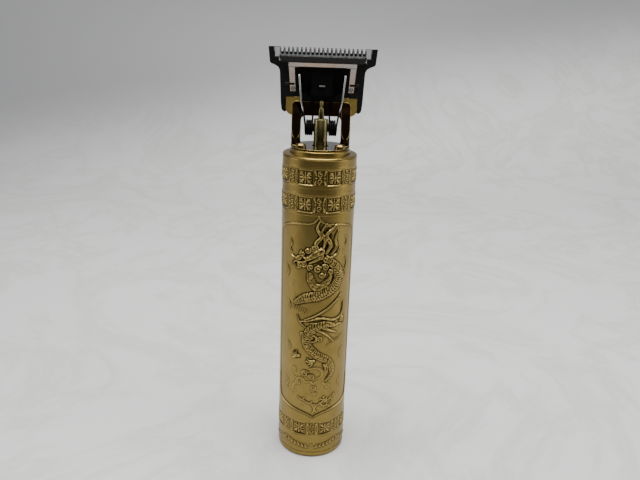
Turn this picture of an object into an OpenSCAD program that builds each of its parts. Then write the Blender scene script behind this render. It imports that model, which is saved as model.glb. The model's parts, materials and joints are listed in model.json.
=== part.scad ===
// Cordless T-blade hair clipper, standing upright on its base.
// Millimetres. +Z is up, the front faces -Y, and the origin is the centre of the base's underside.

/* [Body] */
// Outside diameter of the cylindrical body
body_d = 28; // [26:0.5:36]
// Height of the outer shell's top edge above the base
body_h = 125.8; // [120:0.5:160]
// Wall of the outer shell
shell_wall = 1.2; // [0.8:0.1:1.6]
// Height of the base cap's visible rim
base_rim_h = 2.3; // [1.8:0.1:4]
// Height of the sloping shoulder ring on top of the shell
collar_h = 0.75; // [0.6:0.05:2]
// How far the round top plate stands above the shoulder ring
plate_rise = 1.5; // [0.4:0.1:2]

/* [Head] */
// Width over the two ears of the black blade frame
ear_span = 39.7; // [38:0.1:46]
// Height of the fixed blade's tooth tips above the top plate
head_h = 35.8; // [35.8:0.1:44]
// Width of the bracket over its two legs
bracket_w = 22; // [20:0.1:24]
// Height of the window between the bracket's legs
window_h = 10.6; // [10.4:0.1:14]
// Distance between tooth gaps
tooth_pitch = 1.56; // [1.3:0.01:1.56]
// Number of tooth gaps
tooth_gaps = 20; // [12:2:20]
// Thickness of the fixed blade
fixed_blade_t = 1.2; // [0.9:0.1:1.8]
// Thickness of the moving blade
moving_blade_t = 0.8; // [0.6:0.1:1.0]
// Thickness of the black frame's back plate
frame_t = 1.6; // [1.2:0.1:2.4]

/* [Drive] */
// Distance of the drive pin from the motor's axis
pin_throw = 0.8; // [0.5:0.05:0.9]
// Diameter of the drive cam
cam_d = 5.25; // [4.8:0.05:5.6]
// Diameter of the drive pin at its root
pin_d = 2.2; // [1.8:0.1:2.4]
// Wire diameter of the torsion spring
spring_wire_d = 0.7; // [0.4:0.05:0.7]
// Turns in each of the spring's two coils
spring_turns = 4; // [3:1:4]

/* [Motor and battery] */
// Diameter of the motor's can
motor_d = 20; // [16:0.5:20]
// Length of the motor's can
motor_len = 26.4; // [24:0.2:30]
// Diameter of the motor's shaft
shaft_d = 2; // [1.5:0.1:2.3]
// Diameter of the battery cell
battery_d = 14; // [12:0.5:14.5]
// Length of the battery cell
battery_len = 50; // [40:1:52]

/* [Switch and charging] */
// Travel of the power switch
switch_travel = 3; // [2:0.1:3.5]
// Height of the power switch's middle above the base
switch_z = 46; // [40:1:60]
// Height of the charging light above the base
lamp_z = 28; // [20:1:34]
// Width of the charging socket's shell
socket_w = 8.9; // [7.5:0.1:9.2]
// Height of the charging socket's shell
socket_t = 3.2; // [2.5:0.1:3.4]

/* [Hidden] */
$fn = 96;

// Clearances
gap_line = 0.15;      // visible parting line between housing pieces
seat_gap = 0.1;       // loose seat of one fixed piece in another
slide_gap = 0.05;     // moving blade on fixed blade
run_gap = 0.03;       // shaft in its bushes, on the radius
air_gap = 0.3;        // between pieces that move past each other
tie = 0.02;           // overlap that joins two shapes of one piece
big = 100;            // longer than anything that is cut

// Housing
body_r = body_d / 2;
shell_in_r = body_r - shell_wall;
spigot_r = shell_in_r - seat_gap;
rim_chamfer = 0.7;
base_floor_h = base_rim_h;
spigot_wall = 1.3;
spigot_h = 4.7;
relief_ring_h = 0.6;
relief_ring_t = 0.15;
// Heights of the raised ring borders around the shell, measured from the base or from the top
ring_heights = [9.5, 17.9, body_h - 20.2, body_h - 12.6, body_h - 10, body_h - 2.8];

// Top of the body
collar_z = body_h + gap_line;
collar_top = collar_z + collar_h;
plate_top = collar_top + plate_rise;
plate_r = body_r - 2.7;
plate_t = 2.6;
plate_z = plate_top - plate_t;
ledge_t = 1.2;
collar_spigot_h = 4.8;
bush_bore_r = shaft_d / 2 + run_gap;
seal_r = cam_d / 2 + 0.5;
seal_t = 1.1;

// Bracket, in front view: x across, z up
foot_t = 0.8;
foot_r = plate_r - 0.3;
foot_top = plate_top + foot_t;
leg_w = 3.5;
leg_x = bracket_w / 2 - leg_w / 2;
leg_y0 = -1.2;
leg_y1 = 2.4;
window_w = bracket_w - 2 * leg_w;
window_r = 1.7;
window_top = foot_top + window_h;
crossbar_h = 5.3;
crossbar_top = window_top + crossbar_h;
crossbar_y0 = leg_y1 - seat_gap;
bracket_corner_r = 1.75;
screw_x = 7.2;
screw_y = -5.5;
screw_r = 1;
screw_head_r = 2;
screw_head_h = 1.5;

// Layers of the head from front to back: y grows to the back
blade_y = 2.6;                                     // face where the two blades meet
fixed_y1 = blade_y + fixed_blade_t;
frame_y1 = fixed_y1 + frame_t;
head_plate_t = 1.2;
head_plate_y1 = frame_y1 + head_plate_t;
moving_y1 = blade_y - slide_gap;
moving_y0 = moving_y1 - moving_blade_t;
carrier_y1 = moving_y1 - moving_blade_t / 2;       // back of the carrier, rebated for the blade
carrier_y0 = 0.4;
bar_y0 = moving_y0 - 1.15;
throw_room = pin_throw + air_gap;                  // half of the side room that the stroke needs

// Heights of the head, measured down from the tooth tips
tip_z = plate_top + head_h;
tooth_depth = 2.5;
tooth_shift = 0.12;                                // of the moving teeth, sideways, at mid stroke
tongue_h = 1.4;                                    // part of the moving blade inside the carrier
moving_tip_z = tip_z - 0.6;
gap_floor_z = tip_z - 1.7;                         // frame's upper edge, seen through the tooth gaps
band_bottom = tip_z - 3.6;                         // lower edge of the fixed blade's end teeth
blade_step_z = tip_z - 5.1;                        // lower edge of the fixed blade's wide part
strip_bottom = tip_z - 7;                          // lower edge of the steel seen under the bar
strap_h = 0.8;
bar_top = tip_z - 2.85;
bar_bottom = tip_z - 5.4;
carrier_top = strip_bottom + 0.2;
carrier_shoulder = tip_z - 14;
carrier_neck = tip_z - 17.6;

// Widths of the head, as half widths
ear_x = ear_span / 2;
ear_w = 2;
ear_gap = 0.25;                                    // between an ear and the fixed blade's end tooth
blade_x = ear_x - ear_w - ear_gap;
step_x = blade_x - 1.45;
moving_x = blade_x - 1.9;
blade_leg_x1 = blade_x - 4.95;
blade_leg_w = 2.55;
blade_leg_lean = [0.5, 0.9];                       // of a leg's inner and outer edge, inwards
blade_leg_x0 = blade_leg_x1 - blade_leg_w;
blade_foot_x0 = blade_leg_x0 - blade_leg_lean[0];
blade_foot_x1 = blade_leg_x1 - blade_leg_lean[1];
stem_x = ear_x - 4.25;
shoulder_x = stem_x - 2.2;
shoulder_top = crossbar_top + 1.5;
shoulder_y0 = crossbar_y0 + 0.6;                   // the shoulders stand back from the crossbar's face
shoulder_r = 3;
leg_bottom = max(tip_z - 15.8, shoulder_top + 0.5);  // lower end of the fixed blade's legs
screw_hole_z = leg_bottom + 1.2;
strap_z = leg_bottom + 2.4;                        // straps of the frame over those legs
carrier_x = blade_leg_x0 - throw_room;
blade_hole_x = (blade_foot_x0 + blade_foot_x1) / 2;
blade_screw_r = 0.6;

// Drive pin and cam
cam_r = cam_d / 2;
cam_z = plate_top + 0.15;
cam_top = plate_top + 10.7;
pin_r = pin_d / 2;
pin_tip_r = 0.74 * pin_r;
pin_root_h = 3.4;
pin_cone_h = 1;
pin_tip_h = 1.8;
pin_top = cam_top + pin_root_h + pin_cone_h + pin_tip_h + pin_tip_r;
pin_socket = 1.5;
shaft_top = cam_top - pin_socket - 0.9;
fork_gap = pin_r + pin_throw + throw_room - air_gap + 0.15;   // half width of the fork's slot
fork_x = fork_gap + 1.15;
fork_bottom = cam_top + 2.9;
fork_top = pin_top + 0.5;
fork_y0 = -(pin_throw + pin_r) + 0.1;
fork_y1 = crossbar_y0 - air_gap;

// Torsion spring
wire_r = spring_wire_d / 2;
coil_r = 2.7;
coil_pitch = spring_wire_d + 0.05;
spring_pin_r = coil_r - wire_r - 0.8;
coil_y = cam_r + spring_pin_r + 0.25;
coil_z = window_top - 4.6;
coil_x0 = cam_r + wire_r + 0.2;
coil_x1 = coil_x0 + spring_turns * coil_pitch;
coil_steps = 16;
bridge_y = crossbar_y0 + 3.1 + wire_r + seat_gap;
crossbar_y1 = bridge_y - wire_r - seat_gap;
bridge_z = window_top + 2.2;

// Motor
motor_r = motor_d / 2;
can_wall = 1;
motor_top = plate_z - ledge_t - 0.3;
motor_z = motor_top - motor_len;
end_cap_t = 2;
end_cap_lip = 1;
can_boss_r = 2.9;
can_boss_h = 1.1;
magnet_t = 1.05;
magnet_r = motor_r - can_wall - 0.05;
rotor_r = magnet_r - magnet_t - 0.35;
rotor_h = 14;
rotor_z = motor_z + 6.4;
commutator_r = 2.2;
commutator_h = 2.8;
commutator_z = rotor_z - 1.2 - commutator_h;
terminal_h = 2.6;
motor_floor = motor_z - end_cap_t;

// Inner chassis
chassis_r = shell_in_r - 0.3;
chassis_wall = 1.3;
chassis_in_r = chassis_r - chassis_wall;
chassis_z = base_rim_h + spigot_h + 0.3;
chassis_top = collar_z - collar_spigot_h - 0.3;
split_gap = 0.1;
rib_t = 1.2;
post_r = 1.7;
post_circle = chassis_in_r - post_r + 0.1;         // the posts just join the chassis wall
post_x = post_circle * cos(28);
post_y = -post_circle * sin(28);
stop_gap = 1.8;                                    // room at the cell's ends for tabs and leads

// Battery, board and switch
board_t = 1;
board_w = 15.5;
board_z0 = base_floor_h + 0.3;
board_h = switch_z + 7 - board_z0;
board_y = 5.3;                                     // front face of the board
board_back = board_y + board_t;
battery_r = battery_d / 2;
battery_y = -(chassis_in_r - battery_r - 0.3);
battery_z = motor_floor - terminal_h - 0.3 - rib_t - stop_gap - battery_len;
tab_t = 0.3;
socket_len = 7.3;
socket_z = 0.5;
socket_wall = 0.3;
socket_y = board_y - socket_t / 2;
switch_w = 4.4;
switch_len = 9;
switch_body_y1 = board_back + 3.2;
lever_w = 1.8;
lever_len = 1.8;
knob_w = 8;
knob_len = 11;
knob_t = 1.3;
knob_gap = 0.35;
knob_z = switch_z - switch_travel / 2;             // the knob's middle when switched off
knob_ridge = 0.6;
lamp_r = 1;

// Wires
lead_r = 0.55;
red_battery_route = [
  [3.2, battery_y + 1, battery_z + battery_len + 0.9],
  [5.2, 0.6, battery_z + battery_len + 0.7],
  [6.6, 4, battery_z + battery_len - 3],
  [7, 4.4, battery_z + battery_len - 12],
  [6.6, 4.5, switch_z + 10],
  [5.4, board_y - lead_r - 0.05, switch_z + 3]
];
black_battery_route = [
  [-2.6, battery_y + 1.6, battery_z - 0.9],
  [-3.4, battery_y + 4, battery_z - 0.95],
  [-4.8, 1.4, battery_z - 1.35],
  [-5.6, 3.4, battery_z - 3.4],
  [-5.6, board_y - lead_r - 0.05, battery_z - 5.4]
];
motor_lead_route = [
  [5.6, 3.2, motor_floor - terminal_h + 0.4],
  [6.4, 5.8, motor_floor - terminal_h - 2],
  [7, 7, motor_floor - terminal_h - 12],
  [6.6, 7.4, motor_floor - terminal_h - 26],
  [6.2, board_back + lead_r + 0.05, switch_z + 6]
];

gold = "#a8925a";
dark_gold = "#6b5a2e";
steel = "#c4c6c8";
black = "#1c1c1c";

// ---------------------------------------------------------------- shared shapes

// Rectangle with round corners, from x0 to x1 and from z0 to z1, drawn in the XY plane
module round_rect(x0, x1, z0, z1, r) {
  translate([x0 + r, z0]) square([x1 - x0 - 2 * r, z1 - z0]);
  translate([x0, z0 + r]) square([x1 - x0, z1 - z0 - 2 * r]);
  for (x = [x0 + r, x1 - r], z = [z0 + r, z1 - r])
    translate([x, z]) circle(r, $fn = 32);
}

// Raises a front view, drawn as x and z, into a plate from y0 to y1
module plate(y0, y1) {
  translate([0, y1, 0]) rotate([90, 0, 0]) linear_extrude(y1 - y0) children();
}

// Closed outline that is the same left and right, from the points of its right half, top to bottom
module symmetric(right) {
  left = [for (i = [len(right) - 1 : -1 : 0]) [-right[i].x, right[i].y]];
  polygon(concat(right, left));
}

// Draws the children on the right and again mirrored on the left
module both_sides() {
  children();
  mirror([1, 0, 0]) children();
}

// Ring around the Z axis
module ring(r_out, r_in, z0, z1) {
  translate([0, 0, z0]) rotate_extrude()
    translate([r_in, 0]) square([r_out - r_in, z1 - z0]);
}

// Round rod along Y
module rod_y(r, y0, y1) {
  translate([0, y1, 0]) rotate([90, 0, 0]) cylinder(r = r, h = y1 - y0, $fn = 48);
}

function unit(v) = v / norm(v);

// Direction of a path at point i, from its two neighbours
function heading(p, i) = unit(p[min(i + 1, len(p) - 1)] - p[max(i - 1, 0)]);

// Points on a smooth curve through the given points, with steps points in each stretch
function smooth_route(p, steps) = concat(
  [for (i = [0 : len(p) - 2], k = [0 : steps - 1])
    let (t = k / steps,
         a = p[max(i - 1, 0)], b = p[i], c = p[i + 1], d = p[min(i + 2, len(p) - 1)])
    0.5 * (2 * b + (c - a) * t + (2 * a - 5 * b + 4 * c - d) * t * t
      + (3 * b - a - 3 * c + d) * t * t * t)],
  [p[len(p) - 1]]);

// Side vectors that turn as little as possible along a path
function side_vectors(p) =
  let (t0 = heading(p, 0), first = unit(cross(t0, abs(t0.z) < 0.9 ? [0, 0, 1] : [0, 1, 0])))
  [for (i = 0, n = first; i < len(p);
        i = i + 1,
        n = i < len(p) ? unit(n - (n * heading(p, i)) * heading(p, i)) : n) n];

// Wire of round section swept along a list of points
module wire(p, r, sides = 8) {
  n = side_vectors(p);
  points = [for (i = [0 : len(p) - 1], k = [0 : sides - 1])
    let (b = cross(heading(p, i), n[i]), a = 360 * k / sides)
    p[i] + r * (cos(a) * n[i] + sin(a) * b)];
  walls = [for (i = [0 : len(p) - 2], k = [0 : sides - 1])
    let (j = (k + 1) % sides)
    [i * sides + k, (i + 1) * sides + k, (i + 1) * sides + j, i * sides + j]];
  start = [for (k = [0 : sides - 1]) k];
  finish = [for (k = [sides - 1 : -1 : 0]) (len(p) - 1) * sides + k];
  polyhedron(points, concat(walls, [start], [finish]), convexity = 8);
}

// Screw that points along -Z, with its head's underside at z = 0 and a cross recess
module screw(head_r, head_h, shank_r, length) {
  difference() {
    union() {
      cylinder(r = head_r, h = head_h * 0.65, $fn = 48);
      translate([0, 0, head_h * 0.65 - tie])
        cylinder(r1 = head_r, r2 = head_r * 0.72, h = head_h * 0.35 + tie, $fn = 48);
      translate([0, 0, -length]) cylinder(r = shank_r, h = length + tie, $fn = 48);
    }
    for (turn = [25, 115])
      rotate([0, 0, turn]) translate([-head_r * 0.6, -head_r * 0.12, head_h * 0.55])
        cube([head_r * 1.2, head_r * 0.24, head_h]);
  }
}

// ---------------------------------------------------------------- housing

module outer_shell() {
  color(gold) difference() {
    union() {
      ring(body_r, shell_in_r, base_rim_h + gap_line, body_h);
      for (z = ring_heights)
        ring(body_r + relief_ring_t, body_r - shell_wall / 2,
             z - relief_ring_h / 2, z + relief_ring_h / 2);
    }
    switch_slot(body_r + 1);
    lamp_hole(body_r + 1, seat_gap);
  }
}

// Slot that the switch's neck slides in, cut out to radius r
module switch_slot(r) {
  slot_w = lever_w + 2 * air_gap;
  slot_len = lever_len + switch_travel + 2 * air_gap;
  translate([-slot_w / 2, 0, switch_z - slot_len / 2]) cube([slot_w, r, slot_len]);
}

module lamp_hole(r, clearance) {
  translate([0, 0, lamp_z]) rod_y(lamp_r + clearance, 0, r);
}

module base_cap() {
  color(gold) difference() {
    union() {
      rotate_extrude() polygon([
        [0, 0], [body_r - rim_chamfer, 0], [body_r, rim_chamfer], [body_r, base_rim_h],
        [0, base_rim_h]
      ]);
      ring(spigot_r, spigot_r - spigot_wall, base_rim_h - tie, base_rim_h + spigot_h);
    }
    translate([0, 0, -1]) linear_extrude(base_floor_h + 2) translate([0, socket_y])
      round_rect(-socket_w / 2 - gap_line, socket_w / 2 + gap_line,
                 -socket_t / 2 - gap_line, socket_t / 2 + gap_line, socket_t / 2);
    both_sides() translate([post_x, post_y, -1]) {
      cylinder(r = 0.85, h = base_floor_h + 2, $fn = 48);
      cylinder(r = 1.7, h = 2, $fn = 48);
    }
  }
}

module base_screws() {
  color("dimgray") both_sides() translate([post_x, post_y, 1]) rotate([180, 0, 0])
    screw(1.5, 0.85, 0.75, 8.5);
}

module top_collar() {
  color(gold) rotate_extrude() polygon([
    [plate_r + seat_gap, plate_z], [plate_r + seat_gap, collar_top], [plate_r + 0.9, collar_top],
    [body_r - 0.3, collar_z + 0.5], [body_r, collar_z + 0.2], [body_r, collar_z],
    [spigot_r, collar_z], [spigot_r, collar_z - collar_spigot_h],
    [spigot_r - spigot_wall, collar_z - collar_spigot_h],
    [spigot_r - spigot_wall, plate_z - ledge_t], [plate_r - 1, plate_z - ledge_t],
    [plate_r - 1, plate_z]
  ]);
}

module top_plate() {
  edge = 0.25;
  color(gold) difference() {
    rotate_extrude() polygon([
      [seal_r + seat_gap / 2, plate_z], [seal_r + seat_gap / 2, plate_top],
      [plate_r - edge, plate_top], [plate_r, plate_top - edge], [plate_r, plate_z]
    ]);
    both_sides() translate([screw_x, screw_y, plate_z - 1]) cylinder(r = screw_r, h = big, $fn = 48);
  }
}

module shaft_seal() {
  color(black) ring(seal_r, shaft_d / 2 + air_gap, plate_top - seal_t, plate_top);
}

// ---------------------------------------------------------------- head, standing pieces

// Front view of the bracket's two legs and crossbar, with its round-cornered window
module bracket_front() {
  difference() {
    union() {
      round_rect(-bracket_w / 2, bracket_w / 2, plate_top + foot_t / 2, crossbar_top,
                 bracket_corner_r);
      translate([-bracket_w / 2, plate_top + foot_t / 2]) square([bracket_w, bracket_corner_r]);
    }
    round_rect(-window_w / 2, window_w / 2, foot_top, window_top, window_r);
  }
}

// Plan view of one leg: flat at the back and half round in front
module leg_section() {
  translate([leg_x, leg_y0 + leg_w / 2]) circle(leg_w / 2);
  translate([leg_x - leg_w / 2, leg_y0 + leg_w / 2])
    square([leg_w, leg_y1 - leg_y0 - leg_w / 2 + 2 * tie]);
}

module head_bracket() {
  flare = 2.2;
  color(dark_gold) difference() {
    union() {
      translate([0, 0, plate_top]) cylinder(r = foot_r, h = foot_t);
      difference() {
        intersection() {
          plate(leg_y0, leg_y1 + tie) bracket_front();
          translate([0, 0, plate_top]) linear_extrude(big) both_sides() leg_section();
        }
        // The legs get thinner upwards, to the crossbar's front face
        translate([-big / 2, 0, 0]) rotate([90, 0, 90]) linear_extrude(big) polygon([
          [leg_y0 - 1, foot_top + 2.5], [leg_y0, foot_top + 2.5], [crossbar_y0, window_top + 0.5],
          [crossbar_y0, crossbar_top + 1], [leg_y0 - 1, crossbar_top + 1]
        ]);
      }
      // Flared feet and filleted window corners, behind the round front of the legs
      intersection() {
        plate(leg_y0 + leg_w / 2, leg_y1 + tie) bracket_front();
        both_sides() translate([window_w / 2 - flare, -big / 2, plate_top])
          cube([flare + leg_w / 2, big, 2 * flare]);
      }
      // Crossbar and the upper window corners
      plate(crossbar_y0, crossbar_y1) intersection() {
        bracket_front();
        translate([-big / 2, window_top - window_r]) square([big, big]);
      }
      // Shoulders beside the crossbar
      plate(shoulder_y0, frame_y1 + tie) both_sides()
        round_rect(window_w / 2, shoulder_x, window_top, shoulder_top + shoulder_r, shoulder_r);
      // Plate behind the black frame
      plate(frame_y1, head_plate_y1)
        round_rect(-shoulder_x, shoulder_x, crossbar_top - 1.2, screw_hole_z + 2.6, 1.5);
      plate(frame_y1, head_plate_y1) both_sides()
        round_rect(window_w / 2, shoulder_x, window_top, crossbar_top + 2, shoulder_r - 1);
    }
    // The shoulders end where the frame's back plate begins
    plate(crossbar_y0 - 1, frame_y1)
      translate([-big / 2, shoulder_top]) square([big, big]);
    translate([0, 0, plate_top - 1]) cylinder(r = seal_r, h = foot_t + 2);
    both_sides() translate([screw_x, screw_y, plate_top - 1])
      cylinder(r = screw_r + 0.1, h = foot_t + 2, $fn = 48);
    both_sides() translate([blade_hole_x, 0, screw_hole_z])
      rod_y(blade_screw_r + 0.1, frame_y1 - 1, head_plate_y1 + 1);
  }
}

module bracket_screws() {
  color("goldenrod") both_sides() translate([screw_x, screw_y, foot_top])
    screw(screw_head_r, screw_head_h, screw_r, foot_t + plate_t - 0.3);
}

// Right half of the frame's outline, from the top of the ear down to the stem's end
function frame_side() = [
  [ear_x - ear_w, tip_z], [ear_x, tip_z], [ear_x - 0.5, tip_z - 5.4], [ear_x - 0.9, tip_z - 5.9],
  [ear_x - 1.7, tip_z - 6.2], [ear_x - 2.7, tip_z - 6.6], [ear_x - 3.6, tip_z - 7.2],
  [ear_x - 4.1, tip_z - 8.1], [stem_x, tip_z - 9.2], [stem_x - 0.4, crossbar_top - 0.4],
  [stem_x - 0.65, window_top + 2.6], [stem_x - 0.95, window_top + 1.7], [stem_x - 2, window_top + 1.1]
];

// Front view of the fixed blade without its tooth gaps, grown by a clearance
module fixed_blade_front(g = 0) {
  symmetric([
    [blade_x + g, tip_z], [blade_x + g, band_bottom - g], [step_x + g, band_bottom - g],
    [step_x + g, blade_step_z - g], [blade_leg_x1 + g, blade_step_z - g],
    [blade_foot_x1 + g, leg_bottom - g], [blade_foot_x0 - g, leg_bottom - g],
    [blade_leg_x0 - g, strip_bottom - g]
  ]);
}

// Front view of the opening between the ears, down to height z
module mouth(z) {
  translate([-blade_x - ear_gap, z]) square([2 * (blade_x + ear_gap), tip_z + 1 - z]);
}

module blade_frame() {
  color(black) difference() {
    union() {
      difference() {
        plate(blade_y, frame_y1) symmetric(frame_side());
        // Open top between the ears: deep in front for the blade's end teeth, and shallow behind
        plate(blade_y - 1, frame_y1 + 1) mouth(gap_floor_z);
        plate(blade_y - 1, fixed_y1 + seat_gap / 2) mouth(band_bottom - seat_gap / 2);
      }
      // Straps that hold down the fixed blade's legs
      plate(blade_y - 0.6, blade_y + tie) both_sides()
        translate([blade_leg_x0 + 0.05, strap_z]) square([blade_leg_w + 0.9, strap_h]);
    }
    // Pocket for the fixed blade
    plate(blade_y, fixed_y1) fixed_blade_front(seat_gap / 2);
    // Room for the carrier between the fixed blade's legs
    plate(blade_y - 1, blade_y + 0.3)
      translate([-blade_leg_x0, carrier_neck - 3]) square([2 * blade_leg_x0, 30]);
    // Room for the bracket's crossbar, and for its higher shoulders
    plate(blade_y - 1, frame_y1 + 1) {
      translate([-shoulder_x - seat_gap, 0])
        square([2 * (shoulder_x + seat_gap), crossbar_top + seat_gap]);
      both_sides() translate([window_w / 2 - seat_gap, crossbar_top])
        square([shoulder_x + 2 * seat_gap - window_w / 2, shoulder_top + seat_gap - crossbar_top]);
    }
    both_sides() translate([blade_hole_x, 0, screw_hole_z])
      rod_y(blade_screw_r + 0.1, fixed_y1 - 1, frame_y1 + 1);
  }
}

// Row of tooth gaps that narrow towards the root
module tooth_gap_row(mouth, root, z_tip, depth) {
  for (i = [0 : tooth_gaps - 1])
    translate([(i - (tooth_gaps - 1) / 2) * tooth_pitch, z_tip])
      polygon([[-mouth / 2, tie], [-root / 2, -depth], [root / 2, -depth], [mouth / 2, tie]]);
}

module fixed_blade() {
  tip_t = 0.45;
  color(steel) difference() {
    intersection() {
      plate(blade_y, fixed_y1) difference() {
        fixed_blade_front();
        tooth_gap_row(0.95, 0.6, tip_z, tooth_depth);
      }
      // Side view: the back is ground away towards the tips
      translate([-big / 2, 0, 0]) rotate([90, 0, 90]) linear_extrude(big) polygon([
        [blade_y, 0], [fixed_y1, 0], [fixed_y1, band_bottom - 0.2], [blade_y + tip_t, tip_z],
        [blade_y, tip_z]
      ]);
    }
    both_sides() translate([blade_hole_x, 0, screw_hole_z])
      rod_y(blade_screw_r, blade_y - 1, fixed_y1 + 1);
  }
}

module blade_screws() {
  shank = head_plate_y1 - blade_y - 0.3;
  color("silver") both_sides() translate([blade_hole_x, head_plate_y1, screw_hole_z])
    rotate([-90, 0, 0]) screw(1.7, 1.1, blade_screw_r, shank);
}

// ---------------------------------------------------------------- head, sliding pieces

module moving_blade() {
  strip_x = blade_leg_x1 - 0.05;
  color(steel) difference() {
    intersection() {
      plate(moving_y0, moving_y1) difference() {
        symmetric([
          [moving_x, moving_tip_z], [moving_x, blade_step_z + 0.2], [strip_x, blade_step_z + 0.2],
          [strip_x, strip_bottom], [carrier_x - 1, strip_bottom],
          [carrier_x - 1, strip_bottom - tongue_h]
        ]);
        translate([tooth_shift, 0]) tooth_gap_row(1, 0.65, moving_tip_z, tooth_depth - 0.6);
      }
      // Side view: the front is ground back towards the tips
      translate([-big / 2, 0, 0]) rotate([90, 0, 90]) linear_extrude(big) polygon([
        [moving_y0, 0], [moving_y0, bar_top], [moving_y1 - 0.35, moving_tip_z],
        [moving_y1, moving_tip_z], [moving_y1, 0]
      ]);
    }
    rivet_places() rod_y(0.5, moving_y0 - 1, moving_y1 + 1);
  }
}

// Two rivets through the bar and two through the carrier
module rivet_places() {
  both_sides() {
    translate([10, 0, (bar_top + bar_bottom) / 2]) children();
    translate([5.6, 0, strip_bottom - 0.7]) children();
  }
}

module clamp_bar() {
  color(black) difference() {
    union() {
      plate(bar_y0 + 0.3, moving_y0) symmetric([
        [moving_x + 0.1, bar_top], [moving_x + 0.1, bar_top - 1], [moving_x - 0.9, bar_bottom]
      ]);
      plate(bar_y0, bar_y0 + 0.3 + tie)
        translate([-moving_x + 0.6, bar_bottom + 0.3])
          square([2 * moving_x - 1.2, bar_top - bar_bottom - 0.6]);
    }
    rivet_places() rod_y(0.5, moving_y0 - 0.7, moving_y0 + 1);
  }
}

module carrier_rivets() {
  color("silver") {
    both_sides() translate([10, 0, (bar_top + bar_bottom) / 2])
      rod_y(0.5, moving_y0 - 0.65, moving_y1);
    both_sides() translate([5.6, 0, strip_bottom - 0.7])
      rod_y(0.5, moving_y0 - 0.65, moving_y1);
  }
}

// Front view of the carrier's body, which narrows down to the fork
module carrier_front() {
  symmetric([
    [carrier_x - 0.3, carrier_top], [carrier_x, carrier_top - 0.3],
    [carrier_x, carrier_shoulder], [fork_x, carrier_neck]
  ]);
}

module blade_carrier() {
  wedge_top = strip_bottom - tongue_h - 0.4;
  panel_x = 4.2;
  panel_w = 2.6;
  color(black) difference() {
    union() {
      plate(carrier_y0, carrier_y1) carrier_front();
      // Raised panels, and the small ledge between them
      plate(carrier_y0 - 0.35, carrier_y0 + tie) both_sides()
        round_rect(panel_x, panel_x + panel_w, carrier_shoulder + 0.4, carrier_top - 1.6, 0.4);
      plate(fork_y0 + 0.4, carrier_y0 + tie)
        translate([-1.1, carrier_shoulder + 0.5]) square([2.2, 0.5]);
      // Fork that straddles the drive pin
      plate(fork_y0, fork_y1)
        translate([-fork_x, fork_bottom]) square([2 * fork_x, carrier_neck + 1 - fork_bottom]);
      translate([-fork_x, 0, 0]) rotate([90, 0, 90]) linear_extrude(2 * fork_x) polygon([
        [fork_y0, carrier_neck + 1 - tie], [fork_y1, carrier_neck + 1 - tie],
        [carrier_y1, carrier_neck + 3], [carrier_y1, wedge_top], [carrier_y0, wedge_top]
      ]);
    }
    plate(fork_y0 - 1, fork_y1 + 1)
      translate([-fork_gap, fork_bottom - 1]) square([2 * fork_gap, fork_top - fork_bottom + 1]);
    // Rebate that the moving blade's tongue lies in
    plate(moving_y0, carrier_y1 + 1)
      translate([-carrier_x - 1, strip_bottom - tongue_h - slide_gap]) square([2 * carrier_x + 2, 3]);
    rivet_places() rod_y(0.5, moving_y0 - 0.7, moving_y0 + 1);
  }
}

// ---------------------------------------------------------------- spring

// Right half of the spring's wire, from the middle of the bridge to the leg's tip
function spring_half() = concat(
  smooth_route([
    [0, bridge_y, bridge_z], [coil_x0 - 0.9, bridge_y, bridge_z],
    [coil_x0 - 0.15, bridge_y, bridge_z - 0.9], [coil_x0, bridge_y, coil_z + 3.4],
    [coil_x0, coil_y + coil_r, coil_z + 0.5]
  ], 4),
  [for (k = [0 : coil_steps * (spring_turns - 0.5)])
    let (a = -360 * k / coil_steps)
    [coil_x0 + coil_pitch * k / coil_steps, coil_y + coil_r * cos(a), coil_z + coil_r * sin(a)]],
  smooth_route([
    [coil_x1 - 0.3, coil_y - coil_r - 0.05, coil_z + 1.2], [coil_x1 + 0.35, 1, window_top + 1],
    [coil_x1 + 1.3, -0.1, crossbar_top + 0.5], [carrier_x - 0.6, -0.1, carrier_top - 2.9]
  ], 5));

module torsion_spring() {
  half = spring_half();
  other = [for (i = [len(half) - 1 : -1 : 1]) [-half[i].x, half[i].y, half[i].z]];
  color("silver") wire(concat(other, half), wire_r);
}

module spring_pin() {
  color("#3a3a3a") translate([-coil_x1, coil_y, coil_z]) rotate([0, 90, 0])
    cylinder(r = spring_pin_r, h = 2 * coil_x1, $fn = 48);
}

// ---------------------------------------------------------------- drive

module drive_cam() {
  edge = 0.25;
  color(gold) difference() {
    rotate_extrude() polygon([
      [0, cam_z], [cam_r - edge, cam_z], [cam_r, cam_z + edge], [cam_r, cam_top - edge],
      [cam_r - edge, cam_top], [0, cam_top]
    ]);
    translate([0, 0, cam_z - 1]) cylinder(r = shaft_d / 2, h = shaft_top - cam_z + 1);
    translate([0, -pin_throw, cam_top - pin_socket]) cylinder(r = 0.8 * pin_r, h = big, $fn = 48);
  }
}

module drive_pin() {
  root_z = cam_top + pin_root_h;
  neck_z = root_z + pin_cone_h;
  color(gold) translate([0, -pin_throw, 0]) {
    rotate_extrude($fn = 48) polygon([
      [0, cam_top - pin_socket], [0.8 * pin_r, cam_top - pin_socket], [0.8 * pin_r, cam_top],
      [pin_r, cam_top], [pin_r, root_z], [pin_tip_r, neck_z],
      [pin_tip_r, neck_z + pin_tip_h], [0, neck_z + pin_tip_h]
    ]);
    translate([0, 0, neck_z + pin_tip_h]) sphere(r = pin_tip_r, $fn = 48);
  }
}

module motor_shaft() {
  color("silver") translate([0, 0, motor_floor + 0.4])
    cylinder(r = shaft_d / 2, h = shaft_top - motor_floor - 0.4);
}

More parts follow.
